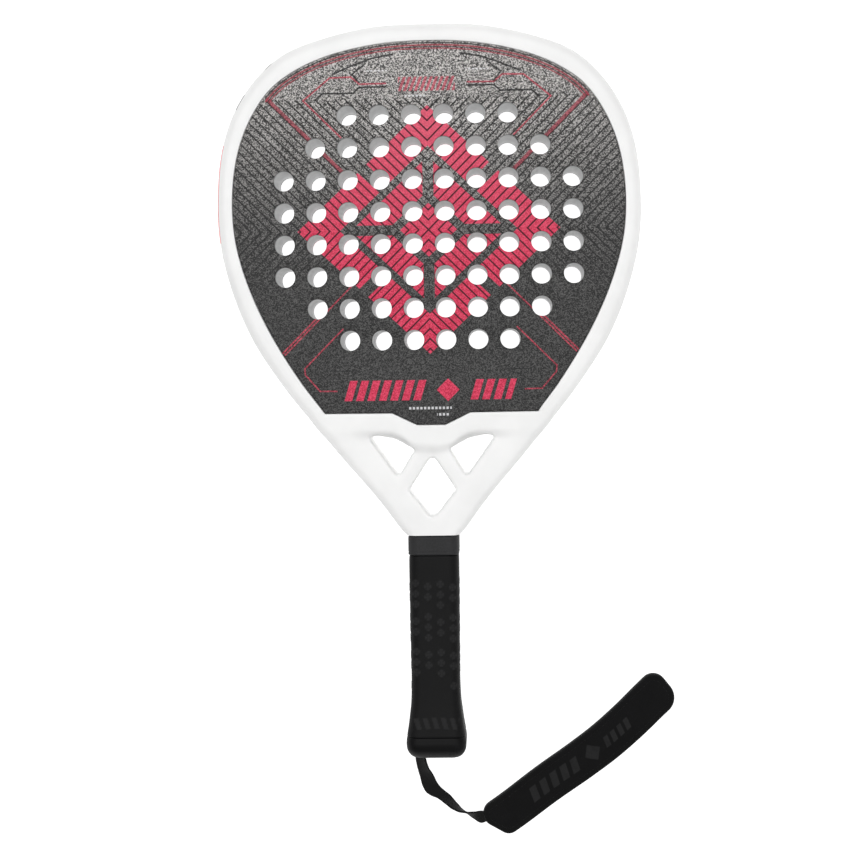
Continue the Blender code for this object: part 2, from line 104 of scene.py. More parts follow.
# ------------------------------------------------------------------ camera
camera = bpy.data.objects.new("camera", bpy.data.cameras.new("camera"))
bpy.context.scene.collection.objects.link(camera)
camera.data.sensor_width = 36.0
camera.data.lens = 70.2
camera.data.clip_start, camera.data.clip_end = 0.01, 50.0
turn = Vector((-0.0283, 0.0362, -0.0142))
camera.rotation_mode = "QUATERNION"
camera.rotation_quaternion = Quaternion(turn.normalized(), turn.length)
camera.location = (0.03658, 0.00717, 1.0672)
bpy.context.scene.camera = camera


# ------------------------------------------------------------------ helpers
def catmull(points, steps):
    """Points along a centripetal curve through the given points, ends included."""
    pts = [np.array(p, float) for p in points]
    ext = [2 * pts[0] - pts[1], *pts, 2 * pts[-1] - pts[-2]]
    out = []
    for i in range(1, len(ext) - 2):
        p = ext[i - 1 : i + 3]
        t = [0.0]
        for a, b in zip(p, p[1:]):
            t.append(t[-1] + max(np.linalg.norm(b - a), 1e-9) ** 0.5)
        for k in range(steps):
            w = t[1] + (t[2] - t[1]) * k / steps
            a1 = (t[1] - w) / (t[1] - t[0]) * p[0] + (w - t[0]) / (t[1] - t[0]) * p[1]
            a2 = (t[2] - w) / (t[2] - t[1]) * p[1] + (w - t[1]) / (t[2] - t[1]) * p[2]
            a3 = (t[3] - w) / (t[3] - t[2]) * p[2] + (w - t[2]) / (t[3] - t[2]) * p[3]
            b1 = (t[2] - w) / (t[2] - t[0]) * a1 + (w - t[0]) / (t[2] - t[0]) * a2
            b2 = (t[3] - w) / (t[3] - t[1]) * a2 + (w - t[1]) / (t[3] - t[1]) * a3
            out.append((t[2] - w) / (t[2] - t[1]) * b1 + (w - t[1]) / (t[2] - t[1]) * b2)
    out.append(pts[-1])
    return np.array(out)


def half_curve(points, steps):
    """catmull for a half curve whose first point lies on x = 0 and is level there."""
    return catmull([(-points[1][0], points[1][1]), *points], steps)[steps:]


def runs(line, closed=False):
    line = np.array(line, float)
    if closed:
        line = np.vstack([line, line[:1]])
    return np.concatenate([[0.0], np.cumsum(np.linalg.norm(np.diff(line, axis=0), axis=1))])


def resample(line, step, closed=False):
    """The line again, in even steps of about the given length."""
    line = np.array(line, float)
    s = runs(line, closed)
    if closed:
        line = np.vstack([line, line[:1]])
    count = max(2, int(round(s[-1] / step)))
    at = np.linspace(0, s[-1], count + 1)
    made = np.stack([np.interp(at, s, line[:, k]) for k in range(line.shape[1])], axis=1)
    return made[:-1] if closed else made


def rounded(corners, step=0.5):
    """Closed outline through corners (x, y, radius); a radius of 0 keeps the corner as it is."""
    out = []
    n = len(corners)
    for i, (x, y, r) in enumerate(corners):
        p = np.array((x, y))
        a = np.array(corners[i - 1][:2]) - p
        b = np.array(corners[(i + 1) % n][:2]) - p
        la, lb = np.linalg.norm(a), np.linalg.norm(b)
        a, b = a / la, b / lb
        half = math.acos(max(-1.0, min(1.0, float(a @ b)))) / 2
        if r <= 0 or half > 1.5:
            out.append(p)
            continue
        cut = min(r / math.tan(half), 0.48 * la, 0.48 * lb)
        rr = cut * math.tan(half)
        centre = p + (a + b) / np.linalg.norm(a + b) * (rr / math.sin(half))
        s, e = p + a * cut - centre, p + b * cut - centre
        turn_by = math.atan2(s[0] * e[1] - s[1] * e[0], float(s @ e))
        parts = max(4, int(abs(turn_by) * rr / step) + 1)
        for k in range(parts + 1):
            c, w = math.cos(turn_by * k / parts), math.sin(turn_by * k / parts)
            out.append(centre + np.array((s[0] * c - s[1] * w, s[0] * w + s[1] * c)))
    return np.array(out)


def inside(points, loop):
    """Which points lie in a closed loop."""
    x, y = points[:, 0], points[:, 1]
    hit = np.zeros(len(points), bool)
    a = np.roll(loop, 1, axis=0)
    for (x0, y0), (x1, y1) in zip(a, loop):
        if y0 == y1:
            continue
        crosses = (y0 > y) != (y1 > y)
        hit ^= crosses & (x < (x1 - x0) * (y - y0) / (y1 - y0) + x0)
    return hit


class Edge:
    """A polyline, open or closed, that answers how far points are from it."""

    def __init__(self, line, closed=True):
        self.line, self.closed = np.array(line, float), closed
        self.tree = kdtree.KDTree(len(self.line))
        for i, p in enumerate(self.line):
            self.tree.insert((p[0], p[1], 0.0), i)
        self.tree.balance()

    def distance(self, points):
        n = len(self.line)
        near = np.array([self.tree.find((p[0], p[1], 0.0))[1] for p in points])
        best = np.full(len(points), 1e9)
        for step in (-1, 1):
            other = near + step
            other = other % n if self.closed else np.clip(other, 0, n - 1)
            a, b = self.line[near], self.line[other]
            d = b - a
            t = np.clip(((points - a) * d).sum(1) / np.maximum((d * d).sum(1), 1e-12), 0, 1)
            best = np.minimum(best, np.linalg.norm(points - a - d * t[:, None], axis=1))
        return best

    def offset(self, by):
        """Points moved to the left of the run by a distance."""
        prev = np.roll(self.line, 1, axis=0) if self.closed else np.vstack([self.line[:1], self.line[:-1]])
        nxt = np.roll(self.line, -1, axis=0) if self.closed else np.vstack([self.line[1:], self.line[-1:]])
        d = nxt - prev
        d /= np.maximum(np.linalg.norm(d, axis=1), 1e-9)[:, None]
        return self.line + by * np.stack([-d[:, 1], d[:, 0]], axis=1)


def ccw(loop):
    area = 0.5 * (loop[:, 0] * np.roll(loop[:, 1], -1) - loop[:, 1] * np.roll(loop[:, 0], -1)).sum()
    return loop if area > 0 else loop[::-1]


def triangulate(loops, free):
    """Triangles over the area between the first loop and the others, through the free points too."""
    points = np.vstack([*loops, free]) if len(free) else np.vstack(loops)
    edges, start = [], 0
    for loop in loops:
        n = len(loop)
        edges += [(start + i, start + (i + 1) % n) for i in range(n)]
        start += n
    res = geometry.delaunay_2d_cdt([Vector(p) for p in points], edges, [], 0, 1e-6)
    got, tris = np.array([tuple(v) for v in res[0]]), np.array([f for f in res[2] if len(f) == 3])
    back = [o[0] if o else -1 for o in res[3]]
    centre = got[tris].mean(axis=1)
    keep = inside(centre, loops[0])
    for loop in loops[1:]:
        keep &= ~inside(centre, loop)
    tris = tris[keep]
    a, b, c = (got[tris[:, k]] for k in range(3))
    area = (b[:, 0] - a[:, 0]) * (c[:, 1] - a[:, 1]) - (b[:, 1] - a[:, 1]) * (c[:, 0] - a[:, 0])
    tris[area < 0] = tris[area < 0][:, ::-1]
    tris = tris[np.abs(area) > 1e-9]
    where = {o: i for i, o in enumerate(back) if o >= 0}
    return got, tris, where


def build(name, verts, faces, mat, body="racket", sharp=None, attributes=None):
    mesh = bpy.data.meshes.new(name)
    mesh.from_pydata((np.array(verts, float) * MM).tolist(), [], [tuple(int(i) for i in f) for f in faces])
    mesh.update()
    mesh.shade_smooth()
    if sharp is not None:
        mesh.set_sharp_from_angle(angle=math.radians(sharp))
    for key, values in (attributes or {}).items():
        layer = mesh.attributes.new(key, "FLOAT", "POINT")
        layer.data.foreach_set("value", np.array(values, np.float32))
    mesh.materials.append(mat)
    obj = bpy.data.objects.new(name, mesh)
    bpy.context.scene.collection.objects.link(obj)
    if body:
        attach(obj, body)
    return obj


def skin(rings, capped=True, cyclic=False):
    """Vertices and quads over closed rings of equal count."""
    count = len(rings[0])
    verts = np.vstack([np.array(r, float) for r in rings])
    faces = []
    spans = len(rings) if cyclic else len(rings) - 1
    for i in range(spans):
        a, b = i * count, (i + 1) % len(rings) * count
        for k in range(count):
            m = (k + 1) % count
            faces.append((a + k, a + m, b + m, b + k))
    if capped and not cyclic:
        faces.append(tuple(range(count))[::-1])
        faces.append(tuple(range((len(rings) - 1) * count, len(rings) * count)))
    return verts, faces


def outward(verts, faces):
    """The faces, turned so that a closed skin's normals point out."""
    volume = 0.0
    for f in faces:
        a = verts[f[0]]
        for k in range(1, len(f) - 1):
            volume += float(a @ np.cross(verts[f[k]], verts[f[k + 1]]))
    return faces if volume > 0 else [tuple(f)[::-1] for f in faces]


def smoothstep(x, lo, hi):
    t = np.clip((np.asarray(x, float) - lo) / (hi - lo), 0, 1)
    return t * t * (3 - 2 * t)


# ---------------------------------------------------------------- materials
class Val:
    """A value in a node graph, so that masks can be written as arithmetic."""

    def __init__(self, graph, out):
        self.graph, self.out = graph, out

    def __add__(self, o):
        return self.graph.op("ADD", self, o)

    def __sub__(self, o):
        return self.graph.op("SUBTRACT", self, o)

    def __mul__(self, o):
        return self.graph.op("MULTIPLY", self, o)

    def __truediv__(self, o):
        return self.graph.op("DIVIDE", self, o)

    def __rsub__(self, o):
        return self.graph.op("SUBTRACT", o, self)

    __radd__, __rmul__ = __add__, __mul__


class Graph:
    def __init__(self, name):
        self.mat = bpy.data.materials.new(name)
        self.mat.use_nodes = True
        self.tree = self.mat.node_tree
        self.shader = self.tree.nodes["Principled BSDF"]
        self._xyz = None

    def set(self, socket, value):
        if isinstance(value, Val):
            self.tree.links.new(value.out, socket)
        elif isinstance(value, (tuple, list)) and socket.type == "RGBA" and len(value) == 3:
            socket.default_value = (*value, 1.0)
        else:
            socket.default_value = value

    def shade(self, **values):
        for key, value in values.items():
            self.set(self.shader.inputs[key.replace("_", " ").title().replace("Ior", "IOR")], value)

    def op(self, kind, a, b=None, c=None, clamp=False):
        node = self.tree.nodes.new("ShaderNodeMath")
        node.operation = kind
        node.use_clamp = clamp
        for socket, value in zip(node.inputs, (a, b, c)):
            if value is not None:
                self.set(socket, value)
        return Val(self, node.outputs[0])

    def mad(self, a, m, c):
        return self.op("MULTIPLY_ADD", a, m, c)

    def abs(self, a):
        return self.op("ABSOLUTE", a)

    def frac(self, a):
        return self.op("FRACT", a)

    def step(self, a, lo, hi):
        """Smooth step of a from 0 at lo to 1 at hi; lo may be the larger."""
        node = self.tree.nodes.new("ShaderNodeMapRange")
        node.interpolation_type = "SMOOTHSTEP"
        self.set(node.inputs["Value"], a)
        self.set(node.inputs["From Min"], lo)
        self.set(node.inputs["From Max"], hi)
        return Val(self, node.outputs["Result"])

    def near(self, a, centre, half, soft=0.16):
        """1 where a is within half of centre."""
        return self.step(self.abs(a - centre), half + soft, half - soft)

    def any(self, *masks):
        out = masks[0]
        for m in masks[1:]:
            out = self.op("MAXIMUM", out, m)
        return out

    def attribute(self, name):
        node = self.tree.nodes.new("ShaderNodeAttribute")
        node.attribute_name = name
        return Val(self, node.outputs["Fac"])

    def object_vector(self):
        if self._xyz is None:
            coord = self.tree.nodes.new("ShaderNodeTexCoord")
            self._xyz = coord.outputs["Object"]
        return Val(self, self._xyz)

    def xyz(self):
        node = self.tree.nodes.new("ShaderNodeSeparateXYZ")
        self.set(node.inputs[0], self.object_vector())
        return [Val(self, node.outputs[k]) * 1000.0 for k in range(3)]

    def vector(self, x, y, z=0.0):
        node = self.tree.nodes.new("ShaderNodeCombineXYZ")
        for socket, value in zip(node.inputs, (x, y, z)):
            self.set(socket, value)
        return Val(self, node.outputs[0])

    def noise(self, scale, detail=2.0, rough=0.5, vector=None):
        node = self.tree.nodes.new("ShaderNodeTexNoise")
        self.set(node.inputs["Vector"], vector or self.object_vector())
        node.inputs["Scale"].default_value = scale
        node.inputs["Detail"].default_value = detail
        node.inputs["Roughness"].default_value = rough
        return Val(self, node.outputs[0])

    def cells(self, scale, out="Color", feature="F1", vector=None):
        node = self.tree.nodes.new("ShaderNodeTexVoronoi")
        node.feature = feature
        self.set(node.inputs["Vector"], vector or self.object_vector())
        node.inputs["Scale"].default_value = scale
        if out == "Color":
            split = self.tree.nodes.new("ShaderNodeSeparateColor")
            self.tree.links.new(node.outputs["Color"], split.inputs[0])
            return Val(self, split.outputs[0])
        return Val(self, node.outputs[out])

    def mix(self, fac, a, b):
        node = self.tree.nodes.new("ShaderNodeMix")
        node.data_type = "RGBA"
        self.set(node.inputs[0], fac)
        self.set(node.inputs[6], a)
        self.set(node.inputs[7], b)
        return Val(self, node.outputs[2])

    def bump(self, height, distance, strength=1.0, normal=None):
        """distance in millimetres."""
        node = self.tree.nodes.new("ShaderNodeBump")
        node.inputs["Distance"].default_value = distance * MM
        node.inputs["Strength"].default_value = strength
        self.set(node.inputs["Height"], height)
        if normal is not None:
            self.set(node.inputs["Normal"], normal)
        return Val(self, node.outputs[0])

    def segment(self, x, y, p, q, half, soft=0.16):
        """1 on the stroke from p to q."""
        (x0, y0), (x1, y1) = p, q
        length = math.hypot(x1 - x0, y1 - y0)
        dx, dy = (x1 - x0) / length, (y1 - y0) / length
        mx, my = (x0 + x1) / 2, (y0 + y1) / 2
        t = self.mad(x, dx, self.mad(y, dy, -(mx * dx + my * dy)))
        n = self.mad(x, -dy, self.mad(y, dx, mx * dy - my * dx))
        return self.step(self.abs(n), half + soft, half - soft) * self.step(
            self.abs(t), length / 2 + half + soft, length / 2 + half - soft
        )

    def stroke(self, x, y, points, half, soft=0.16):
        return self.any(*[self.segment(x, y, p, q, half, soft) for p, q in zip(points, points[1:])])


RED = (0.80, 0.032, 0.085)
INK = (0.012, 0.012, 0.013)


def face_material(name, flip=1.0):
    """Gritty charcoal hitting face with a printed generic pattern: hatch lines, nested broken diamonds, bars and
    pinstripes; the resin, grains and red are painted lighter towards the tip as a painted sheen.
    """
    g = Graph(name)
    x, y, _ = g.xyz()
    x = x * flip
    u = g.abs(x)
    v = g.abs(y - 101.0)

    # Grit: bright grains over dark resin, in loose clusters.
    grain = g.cells(1850.0)
    fine = g.noise(1450.0, 3.0, 0.75)
    speck = g.op("ADD", grain * 0.6, fine * 0.8)
    sparkle = g.step(speck, 0.55, 0.96)
    grit = g.step(speck, 0.40, 0.95)

    # Hatch: lines of constant |x| - |y|, so that chevrons point at the centre from all four sides.
    c = u - v
    gap = 0.5 - g.abs(g.frac(c / 6.05) - 0.5)
    hatch = g.step(gap, 0.140, 0.080)
    top_clear = g.step(y, 182.6, 180.8)

    # Printed figure: a broken diamond round a barred diamond round a small solid one.
    ring = u + v * 1.06
    side = g.abs(u - v * 1.06)
    outer = g.near(ring, 67.5, 13.0) * g.step(side, 5.2, 5.6)
    inner = g.near(ring, 36.5, 11.0) * g.step(g.op("MINIMUM", u, v * 1.06), 3.2, 3.6)
    core = g.step(ring, 17.6, 17.2)
    figure = g.any(outer, inner, core)

    # Row of slanted bars with a small diamond, and small dashes, where the real one has lettering.
    s = g.mad(y, -0.3, x) + 0.9
    slot = g.near(g.frac((s + 51.6) / 7.05), 0.36, 0.33, 0.02)
    bars = slot * g.near(y, 2.9, 6.2) * g.any(g.near(s, -27.2, 24.4), g.near(s, 37.6, 13.4))
    spot = g.step(g.abs(x - 10.6) + g.abs(y - 2.9), 7.2, 6.8)
    tag = g.near(g.frac(g.mad(y, -0.4, x) / 3.3), 0.4, 0.27, 0.03) * g.near(y, 190.0, 4.3) * g.step(u, 17.5, 17.2)
    dashes = g.near(g.frac(x / 2.3), 0.4, 0.3, 0.05)
    small = g.any(
        g.near(y, -8.2, 0.75, 0.12) * g.near(x, -0.5, 13.2) * dashes,
        g.near(y, -12.2, 0.75, 0.12) * g.near(x, 7.6, 4.0) * dashes,
        g.near(y, 198.4, 0.45, 0.12) * g.near(u, 31.0, 7.0) * dashes,
        g.near(y, 182.8, 0.6, 0.12) * g.near(x, -7.5, 6.5) * dashes,
    )

    # Pinstripes.
    edge = g.attribute("edge")
    crown = g.step(y, 180.4, 180.8) * g.step(u, 99.5, 99.0)
    pin = g.any(g.near(edge, 2.6, 0.55, 0.2), g.near(edge, 4.6, 0.4, 0.2)) * crown
    pin_dark = g.any(g.near(edge, 1.3, 0.4, 0.2), g.near(edge, 3.7, 0.3, 0.2)) * crown
    lines = g.any(
        g.stroke(u, y, ((25.0, 190.6), (41.0, 190.5), (46.4, 194.9), (59.3, 194.6), (75.8, 181.0), (53.0, 158.2)), 0.5),
        g.segment(u, y, (36.0, 79.0), (89.4, 25.6), 0.42),
        g.segment(u, y, (66.0, 51.4), (90.6, 26.8), 0.5),
        g.stroke(u, y, ((53.5, 40.9), (77.4, 17.0), (77.1, 13.2), (68.2, 3.0), (58.0, 2.8)), 0.42),
    )
    wide = g.segment(u, y, (97.6, 182.3), (52.8, 137.5), 1.1)
    dark = g.any(
        g.stroke(u, y, ((25.0, 188.7), (41.2, 188.5), (45.0, 185.0), (64.0, 185.1), (68.6, 181.0)), 0.55),
        g.stroke(u, y, ((41.4, 191.6), (45.4, 196.6), (37.2, 202.9)), 0.45),
        g.stroke(u, y, ((57.0, 197.0), (43.9, 202.4), (33.4, 206.0), (20.8, 208.2)), 0.55),
        g.segment(u, y, (62.0, 15.2), (45.0, 15.2), 0.25),
    )

    # Painted sheen: resin and grains are painted lighter towards the tip, standing in for the sheen of the light there.
    rise = g.op("POWER", g.step(g.mad(u, -0.2, y), -10.0, 205.0), 2.1)
    grain_and_sheen = g.mix(rise, (0.069, 0.068, 0.067), (0.66, 0.635, 0.615))
    base = g.mix(sparkle, g.mix(rise, (0.0016, 0.0016, 0.0016), (0.034, 0.033, 0.032)), grain_and_sheen)
    lower_fade = g.step(y, 44.0, 96.0)
    plain_hatch = hatch * top_clear * lower_fade
    base = g.mix(plain_hatch * 0.9, base, (0.0035, 0.0035, 0.004))
    red = g.mix(g.step(speck, 0.35, 1.05), (0.44, 0.009, 0.042), (0.77, 0.062, 0.138))
    thin_red = g.mix(g.step(speck, 0.45, 0.90), (0.16, 0.008, 0.022), (0.62, 0.05, 0.095))
    base = g.mix(wide * g.mad(grit, 0.65, 0.2), base, (0.40, 0.022, 0.055))
    base = g.mix(lines * 0.85, base, thin_red)
    base = g.mix(pin * g.mad(grit, 0.4, 0.5), base, (0.33, 0.012, 0.035))
    base = g.mix(g.any(dark, pin_dark) * 0.9, base, (0.004, 0.004, 0.005))
    # Painted sheen: the red is painted pinker and lighter towards the tip.
    red = g.mix(rise * 0.42, red, (0.82, 0.19, 0.27))
    base = g.mix(g.any(figure, bars, spot), base, red)
    base = g.mix(tag * g.mad(grit, 0.5, 0.35), base, (0.62, 0.06, 0.11))
    base = g.mix(figure * hatch * top_clear, base, (0.055, 0.006, 0.014))
    base = g.mix(small * 0.8, base, (0.72, 0.72, 0.74))
    height = speck * 0.8 - g.any(plain_hatch, figure * hatch, dark) * 0.8
    g.shade(
        base_color=base,
        roughness=g.mad(speck, -0.14, 0.60),
        specular_ior_level=g.mad(g.any(figure, bars, spot), -0.1, 0.30),
        normal=g.bump(height, 0.20, 0.45),
    )
    return g.mat


def lacquer_material():
    """White lacquer over laminate, with a faint orange peel, a printed band low on the shoulder and side, and painted
    light: whiter lacquer on the throat openings' rims and walls.
    """
    g = Graph("white_lacquer")
    x, y, z = g.xyz()
    u = g.abs(x)
    outer = g.attribute("outer")
    tone = g.noise(38.0, 3.0, 0.55)
    base = g.mix(g.step(tone, 0.3, 0.7), (0.835, 0.835, 0.83), (0.875, 0.875, 0.87))
    # Painted light: the lacquer is painted whiter on the throat openings' rims and walls, lifting the shade that falls
    # there.
    base = g.mix(g.attribute("inner"), base, (0.96, 0.96, 0.955))
    # Band of slanted dashes round the side, the same on both halves, with a line above and below it.
    run = g.mad(z, 0.55, y)
    dash = g.near(g.frac(run / 15.0), 0.5, 0.33, 0.02) * g.near(z, 19.0, 4.2)
    line = g.any(g.near(z, 26.4, 0.5), g.near(z, 11.6, 0.5))
    reach = outer * g.step(y, 28.0, 30.0)
    left = outer * g.step(x, 0.0, -1.0) * g.near(z, 33.3, 2.1)
    trim = left * g.near(y, 125.0, 30.0)
    tick = left * g.any(g.near(y, 181.5, 4.5), g.near(y, 203.0, 1.8))
    black = g.any(g.any(dash * g.step(g.frac(run / 75.0), 0.25, 0.27), line) * reach, tick)
    pink = g.any(dash * g.step(g.frac(run / 75.0), 0.26, 0.24) * reach, trim)
    base = g.mix(black, base, (0.03, 0.03, 0.033))
    base = g.mix(pink * 0.8, base, RED)
    peel = g.noise(520.0, 2.0, 0.5)
    g.shade(
        base_color=base,
        roughness=g.mad(tone, 0.10, 0.40),
        specular_ior_level=0.35,
        coat_weight=0.12,
        coat_roughness=0.3,
        normal=g.bump(peel, 0.02, 0.5),
    )
    return g.mat


def foam_material(name, light, dark, cell=900.0, distance=0.12, ends=None):
    """Closed-cell foam: small open cells at the cut surface; ends, when given, is painted shade that darkens the walls
    near both faces, where the holes open.
    """
    g = Graph(name)
    cell_far = g.cells(cell, out="Distance")
    blot = g.noise(140.0, 4.0, 0.6)
    base = g.mix(g.step(blot, 0.3, 0.7), dark, light)
    base = g.mix(g.step(cell_far, 0.75, 0.35) * 0.25, base, dark)
    # Painted shade: the hole walls are painted darker near both faces, where the face skins shade them.
    if ends:
        depth = g.abs(g.xyz()[2] - MID_Z)
        base = g.mix(g.step(depth, 13.5, 18.4), base, ends)
    g.shade(base_color=base, roughness=0.9, specular_ior_level=0.25, normal=g.bump(cell_far, distance, 0.5))
    return g.mat


def rubber_material(name, tone, raised=None, rough=0.52, gloss=0.2):
    """Matt black moulded rubber with a fine leather-like grain; raised marks are a little lighter."""
    g = Graph(name)
    grain = g.cells(1500.0, out="Distance")
    fine = g.noise(2400.0, 2.0, 0.6)
    cloud = g.noise(75.0, 3.0, 0.6)
    low = tuple(t * 0.75 for t in tone)
    base = g.mix(g.step(cloud, 0.3, 0.7), low, tone)
    base = g.mix(g.step(grain, 0.30, 0.75) * 0.35, base, tuple(t * 1.5 for t in tone))
    roughness = g.mad(cloud, 0.12, rough)
    if raised:
        mark = g.attribute(raised)
        base = g.mix(mark, base, tuple(t * 2.6 + 0.0075 for t in tone))
        roughness = roughness + mark * 0.08
    g.shade(
        base_color=base, roughness=roughness, specular_ior_level=gloss, normal=g.bump(grain * 0.6 + fine * 0.4, 0.05, 0.5)
    )
    return g.mat


def weave_material(name, tone, pitch=(0.62, 0.55), tilt=0.0):
    """Tightly woven tape: warp and weft from two attributes that run along and across the piece, in millimetres."""
    g = Graph(name)
    along, across = g.attribute("along"), g.attribute("across")
    wu = g.op("SINE", across * (2 * math.pi / pitch[0]) + along * tilt)
    wv = g.op("SINE", along * (2 * math.pi / pitch[1]))
    weave = wu * wv
    thread = g.noise(3800.0, 2.0, 0.6)
    height = weave * 0.5 + g.abs(wu) * 0.3 + thread * 0.3
    base = g.mix(g.step(weave, -0.6, 0.8), tuple(t * 0.55 for t in tone), tone)
    base = g.mix(g.step(thread, 0.55, 0.8) * 0.4, base, tuple(t * 2.0 + 0.003 for t in tone))
    g.shade(
        base_color=base, roughness=0.86, specular_ior_level=0.2, sheen_weight=0.04, sheen_roughness=0.5,
        normal=g.bump(height, 0.10, 0.7),
    )
    return g.mat


def knit_material(name, tone):
    """Brushed knit over foam, with a tone-on-tone print of slanted bars."""
    g = Graph(name)
    along, across = g.attribute("along"), g.attribute("across")
    m = along - 79.0
    reach = g.abs(m)
    slant = g.mad(across, -0.3, m)
    far, near = slant * -1.0, slant
    first = g.near(g.frac((far - 11.0) / 7.8), 0.38, 0.31, 0.02) * g.near(far, 30.2, 19.2) * g.near(across, 0.0, 4.5)
    second = g.near(g.frac((near - 9.5) / 5.6), 0.38, 0.31, 0.02) * g.near(near, 20.0, 10.5) * g.near(across, 0.0, 3.3)
    spot = g.step(reach + g.abs(across), 6.0, 5.6)
    mark = g.any(first, second, spot) * g.attribute("mark")
    loops = g.op("SINE", across * (2 * math.pi / 0.95)) * g.op("SINE", along * (2 * math.pi / 0.8))
    fuzz = g.noise(2600.0, 3.0, 0.65)
    cloud = g.noise(60.0, 3.0, 0.6)
    base = g.mix(g.step(cloud, 0.3, 0.7), tuple(t * 0.7 for t in tone), tone)
    base = g.mix(g.step(fuzz, 0.5, 0.8) * 0.45, base, tuple(t * 1.8 + 0.002 for t in tone))
    base = g.mix(mark * 0.7, base, tuple(t * 2.0 + 0.006 for t in tone))
    g.shade(
        base_color=base, roughness=g.mad(mark, -0.2, 0.88), specular_ior_level=0.15, sheen_weight=0.03,
        sheen_roughness=0.6, normal=g.bump(loops * 0.4 + fuzz * 0.6, 0.09, 0.6),
    )
    return g.mat


def metal_material(name, tone):
    g = Graph(name)
    scratch = g.noise(900.0, 4.0, 0.7)
    g.shade(
        base_color=g.mix(scratch, tuple(t * 0.8 for t in tone), tone), metallic=1.0,
        roughness=g.mad(scratch, 0.25, 0.2), normal=g.bump(scratch, 0.01, 0.4),
    )
    return g.mat


def laminate_material():
    """Bare woven laminate of the handle tube."""
    g = Graph("laminate_weave")
    x, y, z = g.xyz()
    twill = g.frac((y + (x + z) * 1.0) / 3.0)
    cross = g.frac((y - (x + z) * 1.0) / 3.0)
    weave = g.step(g.abs(twill - cross), 0.3, 0.5)
    g.shade(
        base_color=g.mix(weave, (0.02, 0.02, 0.022), (0.07, 0.07, 0.075)), roughness=g.mad(weave, 0.2, 0.35),
        normal=g.bump(weave, 0.05, 0.4),
    )
    return g.mat


mats = {
    "front": face_material("gritty_face_front"),
    "rear": face_material("gritty_face_rear", flip=-1.0),
    "frame": lacquer_material(),
    # ends of the core: painted shade darkening the hole walls near both faces.
    "core": foam_material("core_foam", (0.94, 0.94, 0.94), (0.87, 0.87, 0.87), ends=(0.38, 0.38, 0.38)),
    "filler": foam_material("handle_foam", (0.75, 0.68, 0.50), (0.62, 0.54, 0.38)),
    "cushion": foam_material("grip_cushion_foam", (0.05, 0.05, 0.05), (0.02, 0.02, 0.02)),
    "shaft": laminate_material(),
    "collar": rubber_material("collar_rubber", (0.024, 0.024, 0.025), rough=0.58),
    "grip": rubber_material("grip_rubber", (0.0031, 0.0031, 0.0033), raised="mark", rough=0.60, gloss=0.17),
    "cap": rubber_material("cap_rubber", (0.0026, 0.0026, 0.0028), rough=0.5, gloss=0.13),
    "tack": metal_material("tack_steel", (0.6, 0.6, 0.62)),
    "cord": weave_material("tape_weave", (0.007, 0.007, 0.007)),
    "band": knit_material("band_knit", (0.0036, 0.0036, 0.0038)),
    "binding": weave_material("binding_tape", (0.0042, 0.0042, 0.0044), pitch=(1.1, 0.8)),
    "thread": weave_material("stitch_thread", (0.009, 0.009, 0.0095), pitch=(0.3, 0.35), tilt=9.0),
}


# ------------------------------------------------------------------- ribbon
def tangents(line):
    d = np.gradient(np.array(line, float), axis=0)
    return d / np.linalg.norm(d, axis=1)[:, None]


def ribbon():
    """The flat tape from the butt cap to the band: one twisted strip, kinked where it meets the ground, with rounded selvedges."""
    course = catmull(TAPE, 7)
    line, reach = course[:, :3], course[:, 3:]
    tan = tangents(line)
    s = runs(line)
    rings, along, across = [], [], []
    half_w, half_t, cols = CORD_W / 2, 0.55, 14
    profile = []
    for k in range(cols + 1):
        w = -1 + 2 * k / cols
        profile.append((w * (half_w - 0.35), half_t * (1.0 + 0.18 * smoothstep(abs(w), 0.78, 0.95))))
    section = [(w, t) for w, t in profile]
    section += [(half_w - 0.10, half_t * 0.75), (half_w, 0.0), (half_w - 0.10, -half_t * 0.75)]
    section += [(w, -t) for w, t in profile[::-1]]
    section += [(-half_w + 0.10, -half_t * 0.75), (-half_w, 0.0), (-half_w + 0.10, half_t * 0.75)]
    for p, t, h, q in zip(line, tan, reach, s):
        size = np.linalg.norm(h)
        wide = h / size
        thin = np.cross(t, wide)
        thin /= np.linalg.norm(thin)
        ripple = 0.10 * math.sin(q * 0.55) + 0.06 * math.sin(q * 1.31 + 1.0)
        ring = []
        for w, up in section:
            bend = 0.35 * (1 - (w / half_w) ** 2) * math.sin(q * 0.09 + 0.5) + ripple * (w / half_w)
            at = p + wide * (w * size / half_w) + thin * (up + bend)
            ring.append((at[0], at[1], max(at[2], 0.15)))
            along.append(q)
            across.append(w)
        rings.append(ring)
    verts, faces = skin(rings)
    obj = build(
        "strap_ribbon", verts, outward(verts, faces), mats["cord"], body=None, sharp=60,
        attributes={"along": along, "across": across},
    )
    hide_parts("wrist_cord")
    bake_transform(obj)
    return obj, line, s[-1]


strap, strap_line, strap_length = ribbon()


def knot():
    """Doubled and sewn end of the tape inside the butt cap's chamber."""
    rings = []
    along, across = [], []
    for k in range(15):
        t = k / 14
        y = -220.7 + 4.7 * t
        swell = math.sin(math.pi * min(max(t, 0.04), 0.96)) ** 0.45
        ring = []
        for j in range(28):
            a = 2 * math.pi * j / 28
            w = 4.5 * math.copysign(abs(math.cos(a)) ** 0.55, math.cos(a)) * (0.9 + 0.1 * swell)
            h = 2.4 * math.copysign(abs(math.sin(a)) ** 0.75, math.sin(a)) * swell
            c, s = math.cos(math.radians(-48.0)), math.sin(math.radians(-48.0))
            ring.append((-9.7 + w * c + h * s, y, 12.0 - w * s * -1 + h * c))
            along.append(y)
            across.append(w)
        rings.append(ring)
    verts, faces = skin(rings)
    obj = build(
        "strap_knot", verts, outward(verts, faces), mats["cord"], sharp=60,
        attributes={"along": along, "across": across},
    )
    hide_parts("cord_root")
    return obj


knot()


# --------------------------------------------------------------------- band
band_line = catmull(BAND, 10)
band_run = runs(band_line)
band_total = band_run[-1]


